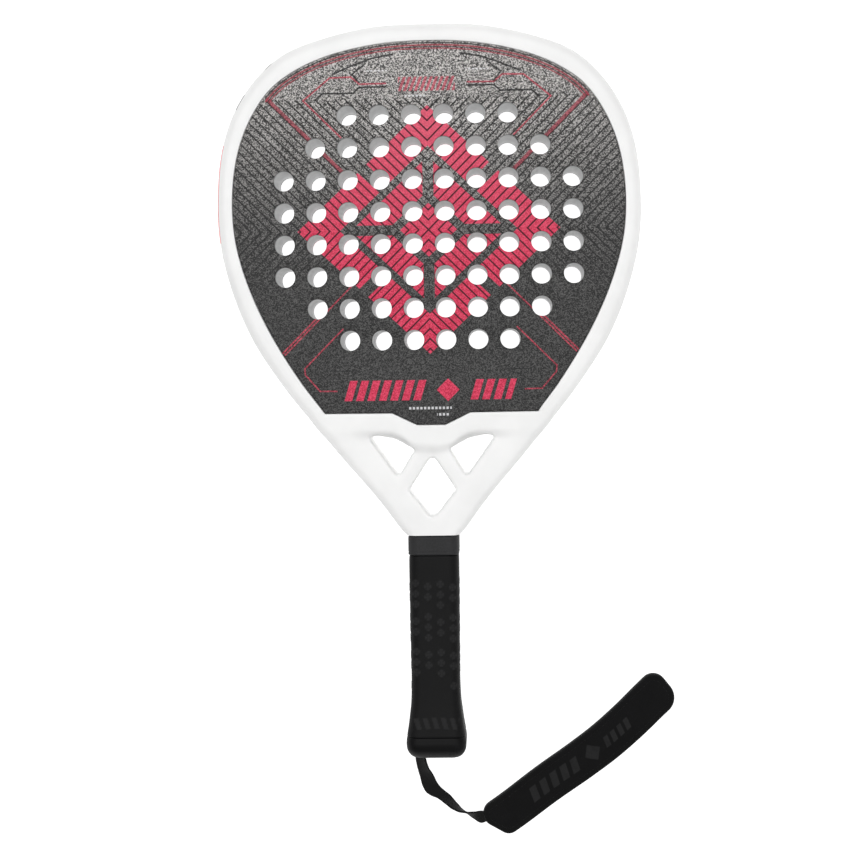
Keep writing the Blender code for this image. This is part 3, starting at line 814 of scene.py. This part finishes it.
def band_at(s):
    """Point and direction on the band's centreline; the line runs on straight past its ends."""
    i = min(max(s, 0.0), band_total)
    p = np.array([np.interp(i, band_run, band_line[:, k]) for k in (0, 1)])
    a = np.array([np.interp(max(i - 1.5, 0.0), band_run, band_line[:, k]) for k in (0, 1)])
    b = np.array([np.interp(min(i + 1.5, band_total), band_run, band_line[:, k]) for k in (0, 1)])
    d = (b - a) / np.linalg.norm(b - a)
    return p + d * (s - i), d


# Outline of the band laid out straight: distance along it, distance across, corner radius.
BAND_OUTLINE = (
    (-7.0, 12.0, 10.5), (5.0, -12.2, 7.0), (band_total + 0.9, -12.9, 11.0), (band_total + 3.1, 12.9, 8.5),
)


def band_loop(by=0.0, step=1.1):
    loop = ccw(resample(rounded(BAND_OUTLINE, 0.4), 0.7, closed=True))
    if by:
        loop = Edge(loop).offset(by)
    return resample(loop, step, closed=True)


def lay(points):
    """Laid-out points on their place along the band's centreline."""
    out = []
    for s, w in points:
        p, d = band_at(s)
        out.append((p[0] - d[1] * w, p[1] + d[0] * w))
    return np.array(out)


def leaf(name, base, top, upper):
    """One padded leaf of the band as a closed crowned form, thin at its sewn rim."""
    loop = band_loop(0.15)
    edge = Edge(loop)
    free = [edge.offset(by) for by in (0.35, 0.8, 1.4, 2.1, 2.9, 3.8)]
    gs, gw = np.meshgrid(np.arange(-4.0, band_total + 2.5, 1.25), np.arange(-12.4, 12.5, 1.15))
    gs[::2] += 0.6
    grid = np.stack([gs.ravel(), gw.ravel()], axis=1)
    grid = grid[inside(grid, loop)]
    free.append(grid[edge.distance(grid) > 4.4])
    free = np.vstack(free)
    free = free[inside(free, loop)]
    flat, tris, where = triangulate([loop], free)
    rim = edge.distance(flat)
    crown = np.sqrt(np.clip(1 - (1 - np.clip(rim / 4.6, 0, 1)) ** 2, 0, 1))
    half = (top - base) / 2 * (0.26 + 0.74 * crown)
    mid = (base + top) / 2
    xy = lay(flat)
    count = len(flat)
    verts = np.vstack([np.column_stack([xy, mid + half]), np.column_stack([xy, mid - half])])
    faces = [tuple(t) for t in tris] + [tuple(int(i) + count for i in t[::-1]) for t in tris]
    ids = [where[i] for i in range(len(loop))]
    for a, b in zip(ids, ids[1:] + ids[:1]):
        faces.append((a, a + count, b + count, b))
    marks = [1.0 if upper else 0.0] * count + [0.0] * count
    obj = build(
        name, verts, outward(verts, faces), mats["band"], body=None,
        attributes={"along": [*flat[:, 0]] * 2, "across": [*flat[:, 1]] * 2, "mark": marks},
    )
    return obj, np.concatenate([rim, rim]), verts


def puff(obj, rim, cap):
    """Swells the foam under its cover with a short cloth simulation, the sewn rim held, and applies the result."""
    mesh = obj.data
    start = np.array([v.co for v in mesh.vertices], float)
    group = obj.vertex_groups.new(name="sewn")
    for i in np.nonzero(rim < 0.9)[0]:
        group.add([int(i)], 1.0, "REPLACE")
    cloth = obj.modifiers.new("swell", "CLOTH")
    cfg = cloth.settings
    cfg.quality = 6
    cfg.mass = 0.15
    cfg.tension_stiffness = cfg.compression_stiffness = 18.0
    cfg.shear_stiffness = 8.0
    cfg.bending_stiffness = 0.6
    cfg.use_pressure = True
    cfg.uniform_pressure_force = 4.0
    cfg.shrink_min = -0.02
    cfg.vertex_group_mass = "sewn"
    cfg.effector_weights.gravity = 0.0
    cloth.collision_settings.use_collision = False
    scene = bpy.context.scene
    cloth.point_cache.frame_start, cloth.point_cache.frame_end = 1, 20
    for f in range(1, 21):
        scene.frame_set(f)
    moved = np.empty(len(mesh.vertices) * 3, np.float32)
    evaluated = obj.evaluated_get(bpy.context.evaluated_depsgraph_get())
    evaluated.data.vertices.foreach_get("co", moved)
    obj.modifiers.remove(cloth)
    scene.frame_set(1)
    step = moved.reshape(-1, 3) - start
    size = np.linalg.norm(step, axis=1)
    step *= np.minimum(1.0, cap * MM / np.maximum(size, 1e-9))[:, None]
    made = start + step
    made[:, 2] = np.maximum(made[:, 2], 0.3 * MM)
    mesh.vertices.foreach_set("co", made.astype(np.float32).ravel())
    mesh.update()
    return float(size.max())


def stitches(name, inset_by, z_of, step=2.6, body="strap_band"):
    """Row of short sunk thread stitches round the band's rim."""
    loop = lay(band_loop(inset_by, step / 2))
    verts, faces, along, across = [], [], [], []
    for k in range(0, len(loop) - 1, 2):
        a, b = loop[k], loop[(k + 1) % len(loop)]
        d = b - a
        length = np.linalg.norm(d)
        if length < 0.2:
            continue
        d /= length
        n = np.array((-d[1], d[0]))
        rings = []
        for q in range(6):
            t = q / 5
            p = a + d * length * (t * 1.36 - 0.18)
            lift = math.sin(math.pi * t) * 0.18 - 0.10
            r = 0.21 * (0.45 + 0.55 * math.sin(math.pi * (0.1 + 0.8 * t)))
            z = z_of(p)
            ring = []
            for j in range(8):
                w = 2 * math.pi * j / 8
                ring.append((*(p + n * r * math.cos(w)), z + lift + r * math.sin(w)))
                along.append(k * 1.0 + t)
                across.append(r * math.cos(w))
            rings.append(ring)
        v, f = skin(rings)
        f = outward(v, f)
        base = sum(len(x) for x in verts)
        verts.append(v)
        faces += [tuple(i + base for i in g) for g in f]
    return build(
        name, np.vstack(verts), faces, mats["thread"], body=body,
        attributes={"along": along, "across": across},
    )


def surface_height(obj, up=True):
    """Height of a piece's skin over a point, in millimetres, by a ray cast."""
    depsgraph = bpy.context.evaluated_depsgraph_get()
    evaluated = obj.evaluated_get(depsgraph)

    def z_of(p):
        start = Vector((p[0] * MM, p[1] * MM, 0.1 if up else -0.1))
        hit, where, _, _ = evaluated.ray_cast(start, Vector((0, 0, -1 if up else 1)))
        return where.z / MM if hit else 4.0

    return z_of


def band():
    """Folded padded strip: two leaves sewn along their rims, and the turned fold at the far end."""
    pieces = []
    for name, base, top, upper in (("band_top_leaf", 4.55, 7.45, True), ("band_under_leaf", 0.45, 3.35, False)):
        obj, rim, _ = leaf(name, base, top, upper)
        puff(obj, rim, 0.45)
        obj.data.shade_smooth()
        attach(obj, "strap_band")
        pieces.append(obj)
    # Folded tape that binds the two leaves together round the rim.
    rings, along, across = [], [], []
    loop = lay(band_loop(0.0, 0.9))
    inner = Edge(loop).offset(1.0)
    q = runs(loop, closed=True)
    for i, (p, c) in enumerate(zip(loop, inner)):
        d = (c - p) / np.linalg.norm(c - p)
        centre = p + d * 1.35
        ring = []
        for k in range(18):
            a = 2 * math.pi * k / 18
            ca, sa = math.cos(a), math.sin(a)
            out = 1.55 * math.copysign(abs(ca) ** 0.75, ca)
            ring.append((*(centre - d * out), 3.95 + 3.3 * math.copysign(abs(sa) ** 0.65, sa)))
            along.append(q[i])
            across.append(a * 2.0)
        rings.append(ring)
    verts, faces = skin(rings, cyclic=True)
    obj = build(
        "band_rim", verts, outward(verts, faces), mats["binding"], body="strap_band",
        attributes={"along": along, "across": across},
    )
    pieces.append(obj)
    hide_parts("wrist_band")
    top = stitches("band_stitch_top", 3.6, surface_height(pieces[0]))
    under = stitches("band_stitch_under", 3.6, surface_height(pieces[1], up=False))
    return [*pieces, top, under]


band_pieces = band()


# -------------------------------------------------------------- frame shell
def outer_outline():
    """Right half of the outer wall, tip to shoulder."""
    right = half_curve([o for _, o in HEAD] + list(LEG_OUT[:-1]), 8)
    right = np.vstack([right, np.array([LEG_OUT[-1]])])
    right = resample(right, 1.9)
    right[:, 0] = np.where(np.arange(len(right)) == 0, 0.0, right[:, 0])
    return right


def face_edge():
    """Closed outline of the opening for the face."""
    right = list(half_curve([i for i, _ in HEAD], 8)[1:]) + [np.array(FACE_CORNER)]
    foot = [np.array(FACE_FOOT[1]), np.array(FACE_FOOT[0])]
    right = np.array(right)
    left = right[::-1] * (-1, 1)
    lower_right = np.array(foot)
    lower_left = lower_right[::-1] * (-1, 1)
    # counter-clockwise from the tip: down the left side, along the foot, up the right side
    loop = np.vstack([[(0.0, HEAD[0][0][1])], left[::-1], lower_left[::-1], lower_right[::-1], right[::-1]])
    return ccw(loop)


STEP_LINE = ((0.0, -31.6), (9.0, -31.4), (13.0, -30.0), (18.0, -26.6), (23.0, -24.0), (30.0, -22.9), (50.0, -22.6), (80.0, -22.6))
OPENING = (  # right throat opening: corner points and radii
    (39.6, -25.5, 1.9), (32.6, -25.0, 9.0), (22.9, -27.0, 14.0), (15.2, -31.2, 12.0), (10.7, -33.7, 1.4), (21.2, -50.8, 2.0),
)
DIAMOND = ((0.0, -36.6, 3.2), (14.5, -58.9, 1.6), (0.0, -77.2, 4.0), (-14.5, -58.9, 1.6))


def axis_distance(points, a, b):
    a, b = np.array(a), np.array(b)
    d = (b - a) / np.linalg.norm(b - a)
    rel = points - a
    return np.abs(rel[:, 0] * -d[1] + rel[:, 1] * d[0])


def top_height(points):
    """Height of the moulding's front before its edges are rounded."""
    p = points.copy()
    p[:, 0] = np.abs(p[:, 0])
    x, y = p[:, 0], p[:, 1]
    step = np.interp(x, [q[0] for q in STEP_LINE], [q[1] for q in STEP_LINE])
    leg = 35.9 + 1.6 * smoothstep(x, 34.0, 58.0) - 0.010 * axis_distance(p, (60.0, -18.5), (10.4, -80.0)) ** 2
    strut = 35.1 - 0.030 * axis_distance(p, (6.5, -36.0), (20.0, -57.5)) ** 2
    strut -= 2.5 * smoothstep(y, -66.0, -74.0)
    neck = smoothstep(y, -66.0, -84.0)
    leg = leg * (1 - neck) + 35.5 * neck
    k = 0.35
    low = np.log(np.exp(np.clip(leg - 30, -20, 20) / k) + np.exp(np.clip(strut - 30, -20, 20) / k)) * k + 30
    rise = smoothstep(y - step, -5.4, 1.4)
    return low * (1 - rise) + 37.9 * rise


def frame_shell():
    """The white moulding in one skin: head rim, bar under the face, legs and struts, down to the collar."""
    right = outer_outline()
    side = np.vstack([right[::-1], right[1:] * (-1, 1)])  # shoulder, up the right, over the tip, down the left
    bottom = np.stack([np.linspace(-16.4, 16.4, 18)[1:-1], np.full(16, -87.0)], axis=1)
    outer_loop = np.vstack([side, bottom])
    face = resample_keep(face_edge(), 2.0)
    opening = ccw(resample(rounded(OPENING, 0.45), 0.9, closed=True))
    mirror = ccw(opening * (-1, 1))
    middle = ccw(resample(rounded(DIAMOND, 0.45), 0.9, closed=True))
    loops = [ccw(outer_loop), face, opening, mirror, middle]
    groups = [
        (Edge(side, closed=False), 6.5),
        (Edge(face), 0.5),
        (Edge(opening), 2.0),
        (Edge(mirror), 2.0),
        (Edge(middle), 2.0),
    ]
    turns = [i * math.pi / 2 / 7 for i in range(1, 8)]
    free = []
    for n, (edge, r) in enumerate(groups):
        inward = 1.0 if n == 0 else -1.0
        count = turns if r > 1 else [math.pi / 4, math.pi / 2]
        for t in count + ([None, None] if n == 0 else []):
            d = r * (1 - math.cos(t)) if t is not None else r + 1.6 * (1 + (len(free) % 2))
            if t is not None and d < 0.04:
                continue
            pts = edge.offset(inward * d)
            far = edge.distance(pts)
            ok = far > 0.97 * d
            for m, (other, _) in enumerate(groups):
                if m != n:
                    ok &= other.distance(pts) > max(0.6, 0.8 * (d if m else 0))
            ok &= pts[:, 1] > -86.6
            free.append(pts[ok])
    gx, gy = np.meshgrid(np.arange(-80, 80.1, 1.5), np.arange(-86.2, -1.0, 1.3))
    gx[::2] += 0.75
    grid = np.stack([gx.ravel(), gy.ravel()], axis=1)
    ok = inside(grid, loops[0])
    for loop in loops[1:]:
        ok &= ~inside(grid, loop)
    grid = grid[ok]
    ok = np.ones(len(grid), bool)
    for n, (edge, r) in enumerate(groups):
        ok &= edge.distance(grid) > (r + 0.5 if n != 1 else 1.2)
    free.append(grid[ok])
    free = np.vstack(free)
    ok = inside(free, loops[0])
    for loop in loops[1:]:
        ok &= ~inside(free, loop)
    free = free[ok]
    points, tris, where = triangulate(loops, free)

    drop = np.zeros(len(points))
    outer_near = groups[0][0].distance(points)
    for n, (edge, r) in enumerate(groups):
        d = edge.distance(points) if n else outer_near
        r_here = np.full(len(points), r)
        if n == 0:
            r_here = 6.5 - 1.0 * smoothstep(points[:, 1], -10.0, -70.0)
        e = np.clip(r_here - d, 0, r_here)
        drop = np.maximum(drop, r_here - np.sqrt(np.maximum(r_here**2 - e**2, 0)))
    z = top_height(points) - drop
    z = np.maximum(z, MID_Z + 6.0)
    count = len(points)
    verts = [*np.column_stack([points, z]), *np.column_stack([points, THICK - z])]
    outer_tag = list(smoothstep(outer_near, 1.3, 1.0)) * 2
    # inner: painted light, whiter lacquer on the rims and walls of the throat openings.
    hole_near = np.min([edge.distance(points) for edge, _ in groups[2:]], axis=0)
    opening_painted_light = list(smoothstep(hole_near, 2.4, 0.6)) * 2
    faces = [tuple(t) for t in tris] + [tuple(int(i) + count for i in t[::-1]) for t in tris]
    start = 0
    for n, loop in enumerate(loops):
        ids = [where[start + i] for i in range(len(loop))]
        start += len(loop)
        rows = [ids]
        levels = 5
        for lv in range(1, levels):
            row = []
            for i in ids:
                a, b = verts[i][2], THICK - verts[i][2]
                row.append(len(verts))
                verts.append(np.array((verts[i][0], verts[i][1], a + (b - a) * lv / levels)))
                outer_tag.append(1.0 if n == 0 else 0.0)
                opening_painted_light.append(1.0 if n > 1 else 0.0)
            rows.append(row)
        rows.append([i + count for i in ids])
        for up, low in zip(rows, rows[1:]):
            m = len(up)
            for i in range(m):
                j = (i + 1) % m
                quad = (up[i], low[i], low[j], up[j])
                faces.append(quad if n == 0 else quad[::-1])
    return build(
        "frame_shell", verts, faces, mats["frame"], sharp=48,
        attributes={"outer": outer_tag, "inner": opening_painted_light},
    )


def resample_keep(loop, step):
    """Adds points on long straight runs of a closed loop and keeps its own."""
    out = []
    for a, b in zip(loop, np.roll(loop, -1, axis=0)):
        parts = max(1, int(round(np.linalg.norm(b - a) / step)))
        out += [a + (b - a) * k / parts for k in range(parts)]
    return np.array(out)


shell = frame_shell()
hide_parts("frame_hoop", "throat_bridge", "throat_strut_left", "throat_strut_right")


# --------------------------------------------------------- faces and core
def hole_centres():
    rows = len(HOLES_IN_ROW)
    for r, count in enumerate(HOLES_IN_ROW):
        y = GRID_Y + ((rows - 1) / 2 - r) * PITCH
        for c in range(count):
            yield ((c - (count - 1) / 2) * PITCH, y)


def circle(x, y, radius, sides):
    a = 2 * np.pi * (np.arange(sides) + 0.5) / sides
    return np.stack([x + radius * np.cos(a), y + radius * np.sin(a)], axis=1)


def inset_loop(loop, by):
    d = np.roll(loop, -1, axis=0) - loop
    d /= np.linalg.norm(d, axis=1)[:, None]
    n = np.stack([-d[:, 1], d[:, 0]], axis=1)
    before = np.roll(n, 1, axis=0)
    m = n + before
    m /= (m * n).sum(1)[:, None]
    return loop + by * m


SIDES = 48
face_loop = inset_loop(resample_keep(face_edge(), 2.2), 0.3)
hole_list = list(hole_centres())


def sheet_layout(roll):
    """Points and triangles of a hitting face; roll is the radius its hole edges are eased to."""
    loops = [face_loop] + [circle(x, y, HOLE_R, SIDES) for x, y in hole_list]
    free = [circle(x, y, HOLE_R + roll * k, SIDES) for x, y in hole_list for k in (0.3, 1.0)]
    free += [inset_loop(face_loop, by) for by in (0.12, 0.4, 1.6, 2.8, 4.2, 6.0, 8.0)]
    free = np.vstack(free)
    edge = Edge(face_loop)
    far = edge.distance(free)
    ok = inside(free, face_loop) & (far > 0.1)
    for x, y in hole_list:
        ok &= np.hypot(free[:, 0] - x, free[:, 1] - y) > HOLE_R + 0.02
    free, far = free[ok], far[ok]
    points, tris, where = triangulate(loops, free)
    return points, tris, where, loops, edge.distance(points)


def face_sheet(name, layout, outside, inner, mat, node):
    """Hitting face: a thin skin, pierced, its hole edges and rim eased."""
    points, tris, where, loops, far = layout
    out = 1.0 if outside > inner else -1.0
    centres = np.array(hole_list)
    near_hole = np.full(len(points), 1e9)
    for c in centres:
        near_hole = np.minimum(near_hole, np.abs(np.hypot(points[:, 0] - c[0], points[:, 1] - c[1]) - HOLE_R))
    r = 0.35
    e = np.clip(r - np.minimum(near_hole, far), 0, r)
    z = outside - out * (r - np.sqrt(np.maximum(r * r - e * e, 0.0)))
    count = len(points)
    verts = [*np.column_stack([points, z]), *np.column_stack([points, np.full(count, inner)])]
    faces = [tuple(t) for t in tris] + [tuple(int(i) + count for i in t[::-1]) for t in tris]
    start = 0
    for n, loop in enumerate(loops):
        ids = [where[start + i] for i in range(len(loop))]
        start += len(loop)
        m = len(ids)
        for i in range(m):
            a, b = ids[i], ids[(i + 1) % m]
            quad = (a, a + count, b + count, b)
            faces.append(quad if n == 0 else quad[::-1])
    if out < 0:
        faces = [f[::-1] for f in faces]
    obj = build(name, verts, faces, mat, sharp=50, attributes={"edge": [*far, *far]})
    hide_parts(node)
    return obj


layout = sheet_layout(0.35)
face_sheet("face_front", layout, 38.0, 37.2, mats["front"], "front_face")
face_sheet("face_rear", layout, 0.0, 0.8, mats["rear"], "rear_face")


def core():
    """Foam core with its drilled holes; the drill leaves faint rings down each wall."""
    loops = [face_loop] + [circle(x, y, HOLE_R, SIDES) for x, y in hole_list]
    points, tris, where = triangulate(loops, np.zeros((0, 2)))
    count = len(points)
    z0, z1 = 0.8, 37.2
    verts = [*np.column_stack([points, np.full(count, z1)]), *np.column_stack([points, np.full(count, z0)])]
    faces = [tuple(t) for t in tris] + [tuple(int(i) + count for i in t[::-1]) for t in tris]
    start = 0
    for n, loop in enumerate(loops):
        ids = [where[start + i] for i in range(len(loop))]
        start += len(loop)
        rows = [ids]
        if n:
            cx, cy = hole_list[n - 1]
            for lv in range(1, 12):
                zz = z1 + (z0 - z1) * lv / 12
                wobble = 0.035 * math.sin(lv * 1.9 + n)
                row = []
                for i in ids:
                    p = points[i] - (cx, cy)
                    row.append(len(verts))
                    verts.append(np.array((cx + p[0] * (1 + wobble / HOLE_R), cy + p[1] * (1 + wobble / HOLE_R), zz)))
                rows.append(row)
        rows.append([i + count for i in ids])
        for up, low in zip(rows, rows[1:]):
            m = len(up)
            for i in range(m):
                j = (i + 1) % m
                quad = (up[i], low[i], low[j], up[j])
                faces.append(quad if n == 0 else quad[::-1])
    obj = build("core_foam_block", verts, faces, mats["core"], sharp=50)
    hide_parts("eva_core")
    return obj


core()


# ------------------------------------------------------------------- handle
def section(y, a, b, sides=128, corner=0.42):
    """Handle section: a rounded rectangle, points evenly spaced from the middle of the right side."""
    r = corner * min(a, b)
    fine = []
    for cx, cz, start in ((1, 1, 0), (-1, 1, 90), (-1, -1, 180), (1, -1, 270)):
        for k in range(25):
            t = math.radians(start + 90 * k / 24)
            fine.append((cx * (a - r) + r * math.cos(t), cz * (b - r) + r * math.sin(t)))
    fine = np.array(fine)
    # begin at the middle of the right side
    fine = np.vstack([[(a, 0.0)], fine, [(a, 0.0)]])
    s = runs(fine)
    at = np.linspace(0, s[-1], sides + 1)[:-1]
    pts = np.stack([np.interp(at, s, fine[:, k]) for k in range(2)], axis=1)
    return pts, at, s[-1]


def profile_rows(stations, step):
    """Stations (y, a, b) again, smoothly and in even steps."""
    return resample(catmull(stations, 10), step)


def sleeve(name, rows, mat, relief=None, closed_ends=True, sides=128, sharp=50):
    verts, mark = [], []
    rings = []
    for y, a, b in rows:
        pts, at, total = section(y, a, b, sides)
        ring = []
        nrm = np.roll(pts, -1, axis=0) - np.roll(pts, 1, axis=0)
        nrm = np.stack([nrm[:, 1], -nrm[:, 0]], axis=1)
        nrm /= np.linalg.norm(nrm, axis=1)[:, None]
        for (px, pz), n, q in zip(pts, nrm, at):
            # arc measured from the middle of the front
            front = (q - total / 4 + total / 2) % total - total / 2
            h, m = relief(front, y) if relief else (0.0, 0.0)
            ring.append((px + n[0] * h, y, MID_Z + pz + n[1] * h))
            mark.append(m)
        rings.append(ring)
    verts, faces = skin(rings, capped=closed_ends)
    return build(name, verts, outward(verts, faces), mat, sharp=sharp, attributes={"mark": mark})


GRIP_ROWS = (
    (-99.6, 14.85, 15.45), (-100.0, 15.15, 15.75), (-100.9, 15.3, 15.9), (-130.0, 15.3, 15.9), (-160.0, 15.1, 15.7),
    (-178.0, 15.0, 15.6), (-192.0, 15.5, 16.0), (-198.0, 16.2, 16.5), (-205.0, 17.1, 17.1), (-211.9, 18.15, 17.75),
    (-212.25, 18.05, 17.65), (-212.36, 17.6, 17.2),
)


def grip_relief(front, y):
    """Moulded marks: staggered columns of small lozenges in groups of three, and a slanted bar row near the butt."""
    h = m = 0.0
    if -186.0 < y < -110.0:
        col = math.floor(front / 7.7)
        s = front - (col + 0.5) * 7.7
        for group in range(4):
            three = (col + group) % 2 == 1
            first = (-116.2 if three else -118.6) - 21.2 * group - 0.35 * (col % 4)
            for k in range(3 if three else 2):
                t = y - (first - 6.5 * k)
                if group == 3 and (k or col % 4 != 2) or abs(t) > 3.4:
                    continue
                d = (abs(s) ** 1.5 + abs(t) ** 1.5) ** (1 / 1.5)
                dent = smoothstep(min(abs(s - t), abs(s + t)), 0.75, 0.35) * smoothstep(d, 0.5, 1.0)
                m = max(m, float(smoothstep(d, 2.65, 2.2) * (1 - 0.6 * dent)))
        h = 0.18 * m
    if -210.0 < y < -197.0:
        t = y + 203.4 + 0.0035 * front * front
        s = front - 0.3 * t
        bar = ((s + 400.0) / 5.6) % 1.0
        on = smoothstep(bar, 0.14, 0.22) * smoothstep(bar, 0.78, 0.70)
        on *= smoothstep(abs(t), 3.7, 3.3) * smoothstep(abs(front), 15.0, 14.4)
        m = float(on)
        h = 0.24 * m
    return h, m


grip = sleeve("grip_sleeve", profile_rows(GRIP_ROWS, 0.55), mats["grip"], relief=grip_relief, sides=176)
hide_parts("outer_grip")

COLLAR_ROWS = (
    (-87.45, 14.9, 15.5), (-87.5, 15.35, 15.95), (-88.0, 15.75, 16.35), (-88.9, 15.8, 16.4), (-96.9, 15.8, 16.4),
    (-97.3, 15.68, 16.28), (-97.7, 15.68, 16.28), (-98.1, 15.8, 16.4), (-98.7, 15.75, 16.35), (-99.15, 15.5, 16.1),
    (-99.3, 15.1, 15.7),
)
collar = sleeve("neck_collar", resample(np.array(COLLAR_ROWS), 0.3), mats["collar"], sides=144)
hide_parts("grip_collar")

CAP_ROWS = (
    (-212.42, 17.4, 16.9), (-212.5, 18.0, 17.5), (-212.8, 18.25, 17.8), (-215.0, 18.6, 18.1), (-217.0, 18.7, 18.2),
    (-220.5, 18.3, 17.2), (-223.4, 17.0, 14.9), (-225.5, 15.2, 11.8), (-226.8, 12.8, 8.2), (-227.45, 9.6, 4.6),
)


def butt():
    """Butt cap: a socket under the grip and a rounded flange closed at the butt."""
    under = [(-191.0, 13.9, 14.4), (-198.0, 14.7, 15.0), (-205.0, 15.6, 15.6), (-212.3, 16.6, 16.2)]
    rows = list(resample(np.array(under), 1.0)) + list(profile_rows(CAP_ROWS, 0.45))
    rings = []
    for y, a, b in rows:
        pts, _, _ = section(y, a, b, 144)
        rings.append([(px, y, MID_Z + pz) for px, pz in pts])
    # close the end with shrinking rings, so that it stays smooth
    y, a, b = rows[-1]
    last = np.array(rings[-1])
    centre = np.array((0.0, y, MID_Z))
    for k, yy in ((0.82, -227.47), (0.6, -227.49), (0.35, -227.5), (0.1, -227.5)):
        ring = centre + (last - centre) * k
        ring[:, 1] = yy
        rings.append(ring)
    verts, faces = skin(rings)
    obj = build("butt_end", verts, outward(verts, faces), mats["cap"], sharp=50)
    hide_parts("butt_cap")
    return obj


butt()

# Pieces of the frame that stay as they are get a finish of their own.
for name, key in (
    ("handle_shaft", "shaft"),
    ("handle_filler", "filler"),
    ("cushion_grip", "cushion"),
    ("cap_tack_left", "tack"),
    ("cap_tack_right", "tack"),
    ("cord_tab", "cord"),
):
    for spot in nodes[name].material_slots:
        spot.material = mats[key]


# ------------------------------------------------------------------- studio
def studio():
    scene = bpy.context.scene
    world = bpy.data.worlds.new("studio")
    world.use_nodes = True
    world.node_tree.nodes["Background"].inputs[0].default_value = (1.0, 1.0, 1.0, 1.0)
    world.node_tree.nodes["Background"].inputs[1].default_value = 0.19
    scene.world = world
    scene.view_settings.view_transform = "Standard"

    g = Graph("pale_floor")
    tone = g.noise(3.0, 2.0, 0.5)
    g.shade(
        base_color=g.mix(tone, (0.42, 0.42, 0.42), (0.46, 0.46, 0.46)), roughness=0.85, specular_ior_level=0.1,
        emission_color=(1.0, 1.0, 1.0), emission_strength=0.98,
    )
    mesh = bpy.data.meshes.new("floor")
    r = 6.0
    mesh.from_pydata([(-r, -r, 0), (r, -r, 0), (r, r, 0), (-r, r, 0)], [], [(0, 1, 2, 3)])
    mesh.materials.append(g.mat)
    floor = bpy.data.objects.new("floor", mesh)
    scene.collection.objects.link(floor)
    floor.location.z = -0.0008

    def lamp(name, where, aim, size, watts, colour=(1, 1, 1)):
        data = bpy.data.lights.new(name, "AREA")
        data.shape = "RECTANGLE"
        data.size, data.size_y = size
        data.energy = watts
        data.color = colour
        obj = bpy.data.objects.new(name, data)
        scene.collection.objects.link(obj)
        obj.location = where
        d = Vector(aim) - Vector(where)
        obj.rotation_euler = d.to_track_quat("-Z", "Y").to_euler()

    lamp("key", (-1.5, 0.1, 4.5), (0, 0, 0), (3.0, 3.0), 66.0)
    lamp("top_sheen", (0.1, 1.5, 4.2), (0, 0.0, 0), (3.6, 1.8), 91.0)
    lamp("fill", (2.0, -1.5, 3.9), (0, 0, 0), (3.0, 3.0), 55.0)


studio()
